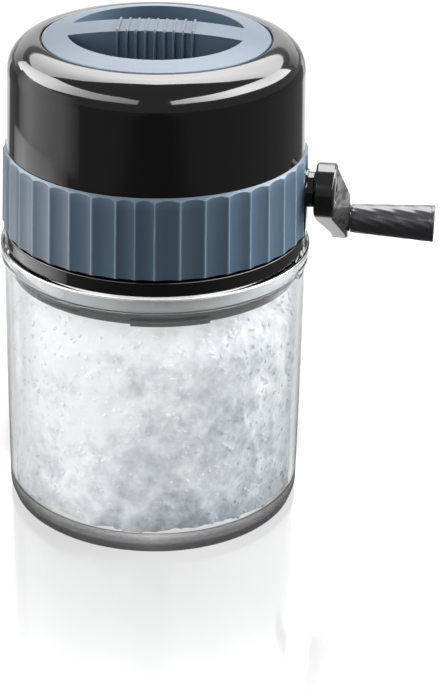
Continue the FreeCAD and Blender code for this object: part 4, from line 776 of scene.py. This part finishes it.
whole = bmesh.new()
for pitch, count, hollow, steps, first in (
        (WIDE_PITCH, WIDE_COUNT, WIDE_HOLLOW, 14, FRONT + NARROW_PITCH + 0.5 * WIDE_PITCH),
        (NARROW_PITCH, NARROW_COUNT, NARROW_HOLLOW, 12, FRONT - 0.5 * NARROW_PITCH)):
    flutes = round_axis(one_flute(pitch, hollow, steps), "flutes", count, pitch, first, "blue_grey")
    whole.from_mesh(flutes.data)
    bpy.data.objects.remove(flutes)
bmesh.ops.remove_doubles(whole, verts=whole.verts, dist=0.1 * MM)
bmesh.ops.holes_fill(whole, edges=[edge for edge in whole.edges if edge.is_boundary])
ring = finished(whole, "grip_band")
combine(ring, [arched_block("slot", SLOT_HALF, 20.0, 50.0, 70.0)], "DIFFERENCE")
soften(ring, 0.3, 2, 30)
dress(ring, "grip_ring")

# %% [markdown]
# ## The jar
# One turned wall in clear acrylic, with a bead round the mouth, a thick floor and a drawn-in foot.
# Three lugs inside the mouth hold the head, two small ribs on the bead mark where it locks, and
# twelve notches break the foot's edge. All of it has to be one closed shell, or the clear plastic
# would show seams inside, so the lugs are welded on with a boolean.

# %% Jar
JAR_MOUTH, JAR_BORE, JAR_RIM = 57.2, 56.8, 60.7
MARK_TURN, MARK_SPACING = -78.7, 1.7
jar = spun("jar_shell", [
    (0, 0.0), (57.8, 0.0, 0.6), (59.2, 4.0, 3.0), (59.6, 103.7, 1.0),
    (JAR_RIM, 104.7, 0.4), (JAR_RIM, 110.3, 0.9), (JAR_MOUTH, 110.3, 0.5), (JAR_MOUTH, 96.0),
    (JAR_BORE, JAR_FLOOR, 1.2), (0, JAR_FLOOR)], around=300)
jar_lug = sector("jar_lug", 55.7, 57.7, 100.5, 102.7, 0, 20)
jar_lug = round_axis(jar_lug, "jar_lugs", 3, 120, 0, "clear_plastic")
marks = [sector("mark", 60.2, 61.05, 105.3, 109.1, MARK_TURN + turn, 0.8, 2)
         for turn in (-MARK_SPACING, MARK_SPACING)]
combine(jar, [jar_lug] + marks, "UNION")
notch = prism("notch", [(57.3, -0.45), (61.3, -0.45), (61.3, 0.45), (57.3, 0.45)], -1.0, 2.4)
combine(jar, [round_axis(notch, "notches", 12, 30, 0, "clear_plastic")], "DIFFERENCE")
dress(jar, "jar")

seal = spun("jar_gasket", [
    (54.0, 103.7, 0.5), (56.9, 103.7, 0.7), (56.9, 110.3, 0.7), (54.0, 110.3, 0.5)], around=240)
dress(seal, "jar_seal")

# %% [markdown]
# ## The lid
# The lid is a shallow dome with two half-moon openings, and a hollow bar between them that the
# fingers grip. Nine ribs cross the bar. The dome is turned, the openings are cut out, the bar is
# welded on, and one bevel then rounds every edge alike, as a mould does. The ribs are rounded on
# their own and added as they are.

# %% Lid
LID_EDGE, LID_BASE, LID_TOP, BAR_BASE = 43.1, 187.9, 195.7, 176.6
POCKET, HALF_BAR, LID_TURN = 33.5, 7.6, 4.1
DOME_STEPS = 12
dome_radius = (LID_EDGE ** 2 + (LID_TOP - SEAM_TOP) ** 2) / (2 * (LID_TOP - SEAM_TOP))
dome = []
for step in range(DOME_STEPS - 1, 0, -1):
    across = LID_EDGE * step / DOME_STEPS
    dome.append((across, LID_TOP - dome_radius + math.sqrt(dome_radius ** 2 - across ** 2)))
lid = spun("lid", [(0, LID_BASE), (LID_EDGE, LID_BASE), (LID_EDGE, SEAM_TOP, 0.6), *dome,
                   (0, LID_TOP)], around=240)


def bar_outline(reach, half_width, steps=14):
    """A strip across the middle whose two ends follow a circle."""
    edge = math.asin(half_width / reach)
    right = [polar(reach, edge * (2 * step / steps - 1)) for step in range(steps + 1)]
    return right + [(-x, -y) for x, y in right]


def moon_outline(reach, half_width, side, steps=60):
    """What such a strip leaves of the circle on one side, 1 or -1."""
    edge = math.asin(half_width / reach)
    sweep = math.pi - 2 * edge
    arc = [polar(reach, edge + sweep * step / steps) for step in range(steps + 1)]
    return [(x, side * y) for x, y in arc]


moons = [prism("moon", moon_outline(POCKET, HALF_BAR, side), 180.0, 200.0) for side in (-1, 1)]
combine(lid, moons, "DIFFERENCE")
bar = prism("bar", bar_outline(POCKET - 0.1, HALF_BAR), BAR_BASE, 189.5)
combine(lid, [bar], "UNION")
soften(lid, 0.55, 3, 50)
RIB_TOP, RIB_FOOT, RIB_COUNT, RIB_PITCH = 196.05, 178.6, 9, 3.5
HALF_RIB, RIB_REACH = 0.45, HALF_BAR + 0.7
rib_section = [(-RIB_REACH, RIB_FOOT, 0.4), (RIB_REACH, RIB_FOOT, 0.4),
               (RIB_REACH, RIB_TOP, 1.3), (-RIB_REACH, RIB_TOP, 1.3)]
rib = prism("rib", rounded(rib_section), -HALF_RIB, HALF_RIB)
rib.data.transform(STAND_ON_X)
soften(rib, 0.3, 3)
ribs = repeat(rib, in_a_line, "ribs", Count=RIB_COUNT, Material=materials["lid"],
              First=(-0.5 * (RIB_COUNT - 1) * RIB_PITCH * MM, 0, 0), Step=(RIB_PITCH * MM, 0, 0))
add_shells(lid, ribs)
lid.data.transform(Matrix.Rotation(math.radians(LID_TURN), 4, "Z"))
dress(lid, "lid_cover", finish="lid")

cup = spun("lid_cup", [
    (0, 174.75), (39.4, 174.75, 0.6), (39.4, 183.2), (38.3, 183.2), (38.3, 185.7), (39.4, 185.7),
    (39.4, 187.85, 0.3), (33.9, 187.85, 0.3), (33.9, 176.55, 0.8), (0, 176.55)], around=200)
lid_lug = sector("lid_lug", 38.9, 41.0, 178.3, 180.2, 0, 14)
add_shells(cup, round_axis(lid_lug, "lid_lugs", 3, 120))
dress(shaded(cup), "lid_plug")
low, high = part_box("lid_seal")
dress(spun("lid_gasket", [
    (38.35, low.z / MM, 0.4), (39.85, low.z / MM, 0.6),
    (39.85, high.z / MM, 0.6), (38.35, high.z / MM, 0.4)], around=200), "lid_seal")

# %% [markdown]
# ## The crank
# The arm is cast in one piece: a round hub, a smaller round end and flat sides between. Its shape
# is already right in the frame, so a copy of the node is cleaned, and its edges are rounded to
# catch the light. The same treatment suits every small metal and plastic piece inside the head.

# %% Pieces taken over from the frame


def taken_over(node, name, width, segments):
    """A clean copy of a node with softened edges."""
    shape = bmesh.new()
    shape.from_mesh(nodes[node].data)
    bmesh.ops.remove_doubles(shape, verts=shape.verts, dist=2e-6)
    bmesh.ops.dissolve_limit(shape, angle_limit=math.radians(1.0), verts=shape.verts,
                             edges=shape.edges)
    return soften(shaded(plain(shape, name)), width, segments)


dress(taken_over("crank_arm", "arm", 0.25, 3), "crank_arm", finish="etched")
low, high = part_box("hub_cap")
dress(spun("hub_button", [(0, 0), (5.9, 0), (5.9, 0.8, 0.3), (0, 0.8)], around=64,
           turn=LAY_ALONG_X, move=(low.x / MM, 0, CRANK_HEIGHT)), "hub_cap")

# %% [markdown]
# The grip widens towards its end, and fourteen shallow flutes wind round it. A grid of points by
# formula is the plainest way to make it: the radius grows along the grip, and a cosine of the
# angle, turned a little further at each step, makes the flutes.

# %% Grip
GRIP_X, GRIP_LENGTH, GRIP_Y, GRIP_Z = 74.6, 31.6, 37.589, 107.284
GRIP_START, GRIP_END, GRIP_CHAMFER = 5.8, 7.4, 0.12
GRIP_FLUTES, GRIP_TWIST, FLUTE_HOLLOW = 14, math.radians(100), 0.11


def twisted_grip(along=90, around=160):
    """The tapered grip with its flutes, closed at both ends."""
    shape = bmesh.new()
    rows = []
    for step in range(along + 1):
        share = step / along
        radius = GRIP_START + (GRIP_END - GRIP_START) * share
        at_an_end = step in (0, along)
        row = []
        for spoke in range(around):
            angle = 2 * math.pi * spoke / around
            depth = FLUTE_HOLLOW * 0.5 * (1 - math.cos(GRIP_FLUTES * (angle - GRIP_TWIST * share)))
            y, z = polar(radius - depth - (GRIP_CHAMFER if at_an_end else 0), angle)
            corner = Vector((GRIP_X + GRIP_LENGTH * share, GRIP_Y + y, GRIP_Z + z))
            row.append(shape.verts.new(corner * MM))
        rows.append(row)
    for one, two in zip(rows, rows[1:]):
        for spoke in range(around):
            after = (spoke + 1) % around
            shape.faces.new((one[spoke], one[after], two[after], two[spoke]))
    shape.faces.new(rows[0])
    shape.faces.new(rows[-1])
    return finished(shape, "grip")


dress(twisted_grip(), "crank_grip", finish="grip")
grip_end = spun("grip_end", [
    (0, 0), (GRIP_END - 0.2, 0), (GRIP_END, 0.5), (GRIP_END, 1.8, 0.5), (0, 1.8)], around=96,
    turn=LAY_ALONG_X, move=(GRIP_X + GRIP_LENGTH, GRIP_Y, GRIP_Z))
dress(grip_end, "grip_end_cap", finish="grip")

# %% [markdown]
# A node that a piece replaces is hidden, so the nodes that still show are the ones left to dress:
# the works inside the head. Sheet steel keeps a finer edge than moulded plastic.

# %% Everything inside the head
STEEL_EDGE, PLASTIC_EDGE = 0.12, 0.2
for node in sorted(nodes):
    if nodes[node].hide_render:
        continue
    width = STEEL_EDGE if slot_of_node[node] == "steel" else PLASTIC_EDGE
    dress(taken_over(node, node + "_finished", width, 1), node,
          slot="black_satin" if node == "grip_washer" else None)

# %% [markdown]
# ## The ice
# Crushed ice fills the jar. It isn't a part of the object, but the clear jar is meant to be seen
# full. A lumpy core keeps the filling solid, and a tree strews about two thousand angular chips
# over it. Ice this broken scatters light inside, which a plain surface can't, so a soft glow of its
# own stands for that light.

# %% Ice
ICE_TOP, ICE_BASE, ICE_RADIUS = 96.0, 8.2, 56.0
ICE_SHOULDER, ICE_GRAIN = 16.0, 1.8
LUMPS = ((0.016, 0.003), (0.006, 0.0024), (0.0025, 0.0012))
CHIP_SIZE, CHIPS_PER_SQUARE_METRE = 2.0, 40000.0
ICE_GAP = 0.2


def ice_finish():
    """White and cloudy, darker and bluer in random patches and towards the right and the bottom."""
    finish = Finish("crushed_ice", {"IOR": 1.31, "Emission Strength": 1.0})
    spot = finish.node("ShaderNodeSeparateXYZ", {"Vector": finish.place()})
    right, up = Field(finish, spot.socket), Field(finish, spot.socket.node.outputs["Z"])
    cloud, lumps, crumbs = finish.noise(40, 4), finish.noise(150, 4), finish.noise(420, 6)
    # Darker and bluer in random patches, and towards the right and the bottom.
    blue_grey_share = cloud * 0.7 + lumps * 0.6 + crumbs * 0.3 + right * 4.5 - up * 3.0 - 0.22
    low = 1.0 - finish.node("ShaderNodeMapRange", {
        "Value": up, "From Min": 0.006, "From Max": 0.02})
    blue_grey_share = blue_grey_share + low * 0.25
    finish.vary({
        "Base Color": finish.ramp(blue_grey_share, 0.35, 0.8, (0.11, 0.11, 0.115), (0.05, 0.058, 0.062)),
        "Emission Color": finish.ramp(blue_grey_share, 0.3, 0.9, screen(212, 213, 216), screen(100, 111, 117)),
        "Roughness": 0.15 + crumbs * 0.4,
        "Normal": finish.bump(crumbs, 0.0009, 0.6),
    })
    return finish.material


materials["ice"] = ice_finish()


def ice_core():
    """An even skin round the filling, pushed in and out by noise in three sizes."""
    core = spun("ice_core", [
        (0, ICE_BASE), (ICE_RADIUS, ICE_BASE, 0.8), (ICE_RADIUS, ICE_TOP - 4, ICE_SHOULDER),
        (0, ICE_TOP)], around=120)
    remesh = core.modifiers.new("even", "REMESH")
    remesh.mode = "VOXEL"
    remesh.voxel_size = ICE_GRAIN * MM
    settled(core)
    for lump_size, depth in LUMPS:
        lumps = bpy.data.textures.new("lumps", "CLOUDS")
        lumps.noise_scale = lump_size
        step = core.modifiers.new("lumps", "DISPLACE")
        step.texture = lumps
        step.texture_coords = "LOCAL"
        step.strength = depth
        step.mid_level = 0.5
    return settled(core)


def chips_group():
    group, start, end = node_group("strewn_chips", (
        ("Density", "Float", CHIPS_PER_SQUARE_METRE), ("Seed", "Int", 7), ("Size", "Float", 1.0),
        ("Chip", "Object", None), ("Material", "Material", None)))
    spots = grow(group, "GeometryNodeDistributePointsOnFaces", {
        "Mesh": start["Geometry"], "Density": start["Density"], "Seed": start["Seed"]})["Points"]
    chip = grow(group, "GeometryNodeObjectInfo", {"Object": start["Chip"]})["Geometry"]
    spin = grow(group, "FunctionNodeRandomValue", {
        "Min": (0, 0, 0), "Max": (6.28, 6.28, 6.28), "Seed": start["Seed"]},
        data_type="FLOAT_VECTOR")[0]
    rotation = grow(group, "FunctionNodeEulerToRotation", {"Euler": spin})[0]
    sizes = grow(group, "FunctionNodeRandomValue", {
        "Min": (0.5, 0.5, 0.4), "Max": (1.2, 1.1, 0.9), "Seed": 11}, data_type="FLOAT_VECTOR")[0]
    scale = grow(group, "ShaderNodeVectorMath", {0: sizes, "Scale": start["Size"]},
                 operation="SCALE")[0]
    copies = grow(group, "GeometryNodeInstanceOnPoints", {
        "Points": spots, "Instance": chip, "Rotation": rotation, "Scale": scale})["Instances"]
    joined = grow(group, "GeometryNodeJoinGeometry", {"Geometry": copies})["Geometry"]
    group.links.new(start["Geometry"], joined.node.inputs["Geometry"])
    end_group(group, joined, start, end)
    return group


core = ice_core()
chip_shape = bmesh.new()
bmesh.ops.create_icosphere(chip_shape, subdivisions=1, radius=CHIP_SIZE * MM)
for number, corner in enumerate(chip_shape.verts):
    corner.co *= 0.8 + 0.35 * ((number * 7) % 5) / 4
chip = finished(chip_shape, "chip")
ice = repeat(core, chips_group(), "ice", Density=CHIPS_PER_SQUARE_METRE, Seed=7, Size=0.7,
             Chip=chip, Material=materials["ice"])
bpy.data.objects.remove(chip)
ice_limit = (JAR_BORE - ICE_GAP) * MM
for corner in ice.data.vertices:
    across = math.hypot(corner.co.x, corner.co.y)
    if across > ice_limit:
        corner.co.x *= ice_limit / across
        corner.co.y *= ice_limit / across
    corner.co.z = max(corner.co.z, (JAR_FLOOR + ICE_GAP) * MM)
shaded(ice)
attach(ice, "jar")
print("ice: %d faces" % len(ice.data.polygons))

# %% [markdown]
# ## The studio
# Gloss black has hardly any colour of its own: it shows the room. So the room is planned by
# direction, as seen from the head. Each card is a list of columns: degrees to the side of the
# camera, the low and the high edge in degrees of rise, and how brightly each edge glows. A broad
# box behind and above makes the bright band on the shoulder, and a long strip on each side makes
# the band's two ends. The dim walls near the table give the hood and the jar their soft grey
# fields. No card lights a matt surface.

# %% Cards
HEAD_HEIGHT = 0.17
CAMERA_AZIMUTH = math.atan2(camera.location.y, camera.location.x)


def toward(turn, rise, distance):
    """The point at so many degrees beside the camera and above the head."""
    azimuth = CAMERA_AZIMUTH + math.radians(turn)
    height = HEAD_HEIGHT + distance * math.tan(math.radians(rise))
    return Vector((distance * math.cos(azimuth), distance * math.sin(azimuth), max(height, 0.002)))


def glow_material():
    material = bpy.data.materials.new("glowing_card")
    material.use_nodes = True
    tree = material.node_tree
    tree.nodes.clear()
    glow = tree.nodes.new("ShaderNodeAttribute")
    glow.attribute_name = "glow"
    light = tree.nodes.new("ShaderNodeEmission")
    end = tree.nodes.new("ShaderNodeOutputMaterial")
    tree.links.new(glow.outputs["Fac"], light.inputs["Strength"])
    tree.links.new(light.outputs[0], end.inputs["Surface"])
    return material


card_glow = glow_material()


def card(name, distance, columns, steps=6):
    """A bent card round the head from (turn, low rise, high rise, low glow, high glow)."""
    shape = bmesh.new()
    glow = shape.verts.layers.float.new("glow")
    edges = []
    for left, right in zip(columns, columns[1:]):
        for step in range(steps + (right is columns[-1])):
            turn, low, high, low_glow, high_glow = (
                one + (two - one) * step / steps for one, two in zip(left, right))
            edge = []
            for rise, strength in ((low, low_glow), ((low + high) / 2, (low_glow + high_glow) / 2),
                                   (high, high_glow)):
                corner = shape.verts.new(toward(turn, rise, distance))
                corner[glow] = strength
                edge.append(corner)
            edges.append(edge)
    for one, two in zip(edges, edges[1:]):
        for level in (0, 1):
            shape.faces.new((one[level], two[level], two[level + 1], one[level + 1]))
    made = plain(shape, name)
    made.data.materials.append(card_glow)
    made.visible_camera = made.visible_diffuse = False
    made.visible_transmission = made.visible_shadow = False
    return made


card("rear_softbox", 2.2, [
    (112, 36, 60, 9, 11), (125, 28, 68, 8, 14), (150, 26, 73, 5, 16), (180, 26, 77, 5, 17),
    (210, 26, 73, 4, 13), (235, 28, 68, 5, 9), (248, 36, 60, 6, 8)])
card("right_strip", 2.0, [
    (12, 24, 36, 8, 10), (30, 26, 43, 10, 12), (55, 25, 45, 15, 16), (75, 24, 45, 18, 18),
    (90, 21, 43, 16, 16), (105, 17, 39, 13, 12), (128, 12, 28, 9, 9)])
card("left_strip", 2.0, [
    (-14, 23, 37, 4, 5), (-30, 25, 43, 5, 6), (-60, 23, 44, 7, 7), (-75, 20, 44, 9, 9),
    (-90, 16, 43, 12, 12), (-105, 14, 42, 13, 12), (-122, 10, 33, 10, 9), (-138, 10, 22, 5, 5)])
card("back_haze", 2.1, [
    (135, 4, 18, 0.8, 0.8), (155, 3, 20, 1.5, 1.5), (180, 3, 21, 1.6, 1.6), (205, 3, 20, 1.5, 1.5),
    (225, 4, 18, 0.8, 0.8)])
card("left_wall", 0.5, [
    (-56, -19, 14, 0.4, 0.4), (-70, -19, 14, 1.3, 1.3), (-88, -19, 14, 1.5, 1.9),
    (-106, -19, 14, 1.6, 2.2), (-122, -19, 14, 0.5, 0.5)])
card("low_left_wall", 0.2, [
    (-60, -34, -18, 1.0, 0.6), (-76, -34, -18, 3.0, 1.8), (-106, -34, -18, 3.2, 1.8),
    (-122, -34, -18, 1.0, 0.6)])
card("far_wall", 0.6, [
    (150, -17, 6, 0.6, 0.4), (164, -17, 6, 1.4, 1.2), (180, -17, 6, 1.6, 2.2),
    (196, -17, 6, 1.7, 1.1), (212, -17, 6, 1.2, 0.4)])


LAMP_AIM, LAMP_SIZE = Vector((0, 0, 0.1)), 0.8


def lamp(name, turn, rise, distance, watts):
    """A soft square lamp that lights the matt surfaces and stays out of the gloss."""
    light = bpy.data.lights.new(name, "AREA")
    light.shape = "SQUARE"
    light.size = LAMP_SIZE
    light.energy = watts
    made = thing(name, light)
    made.location = toward(turn, rise, distance)
    made.rotation_euler = (LAMP_AIM - made.location).to_track_quat("-Z", "Y").to_euler()
    made.visible_camera = made.visible_glossy = made.visible_transmission = False
    return made


lamp("left_lamp", -70, 20, 1.0, 31)
lamp("right_lamp", 95, 20, 1.0, 66)
lamp("top_lamp", 0, 72, 0.5, 14)
print("cards:", card_glow.users)

# %% [markdown]
# The paper behind and the table are white to the eye and through the jar. In the gloss the paper is
# dimmer, and the table goes dark away from the middle, as black boards would make it. The table
# also has a gloss of its own, and in front of the jar its glow is painted a little greyer: a
# painted reflection, on which the jar stands. Light Path tells the kinds of ray apart.

# %% World
PAPER_BY_GLOSS = 0.43
world = bpy.data.worlds.new("studio")
scene.world = world
world.use_nodes = True
sky = world.node_tree.nodes["Background"]
level = world.node_tree.nodes.new("ShaderNodeMapRange")
level.inputs["To Min"].default_value = PAPER_BY_GLOSS
level.inputs["To Max"].default_value = 1.0
world.node_tree.links.new(light_path(world.node_tree, "Is Camera Ray", "Is Transmission Ray"),
                          level.inputs["Value"])
world.node_tree.links.new(level.outputs[0], sky.inputs["Strength"])
sky.inputs["Color"].default_value = (1, 1, 1, 1)
print("world:", world.name)

# %% Table
table_shape = bmesh.new()
bmesh.ops.create_grid(table_shape, x_segments=1, y_segments=1, size=4)
table = plain(table_shape, "table")
paint = Finish("white_table", {"Base Color": (0.04, 0.04, 0.04), "Roughness": 0.05,
                               "Emission Color": (1.0, 1.0, 1.0)})
turned = paint.node("ShaderNodeMapping", {
    "Vector": paint.node("ShaderNodeTexCoord", output="Object"),
    "Rotation": (0, 0, -CAMERA_AZIMUTH - math.pi / 2)})
spot = paint.node("ShaderNodeSeparateXYZ", {"Vector": turned}).socket.node.outputs
aside = paint.node("ShaderNodeMath", (Field(paint, spot["X"]),), operation="ABSOLUTE")
behind = Field(paint, spot["Y"])


def fade(amount, first, last):
    """0 below the first value, 1 above the last, with a soft change between."""
    return paint.node("ShaderNodeMapRange", {
        "Value": amount, "From Min": first, "From Max": last}, interpolation_type="SMOOTHSTEP")


# Painted reflection: the table's glow is made greyer in front of the jar.
reflection = (1.0 - fade(aside, 0.056, 0.075)) * (1.0 - fade(behind, 0.16, 0.24))
reflection = reflection * fade(behind, -0.22, -0.07)
by_eye = 1.05 - 0.43 * reflection
by_gloss = 1.2 - 1.1 * fade(aside - behind * 0.65, -0.02, 0.05) + 0.12 * fade(aside, 0.1, 0.3)
through_jar = Field(paint, light_path(paint.tree, "Is Transmission Ray"))
paint.vary({"Emission Strength": by_eye + through_jar * 0.1})
in_gloss = paint.node("ShaderNodeEmission", {"Strength": by_gloss})
paint.swap(light_path(paint.tree, "Is Reflection Ray"), in_gloss.socket)
table.data.materials.append(paint.material)
print("table: %d nodes in its finish" % len(paint.tree.nodes))

# %% View transform
scene.view_settings.view_transform = "Standard"
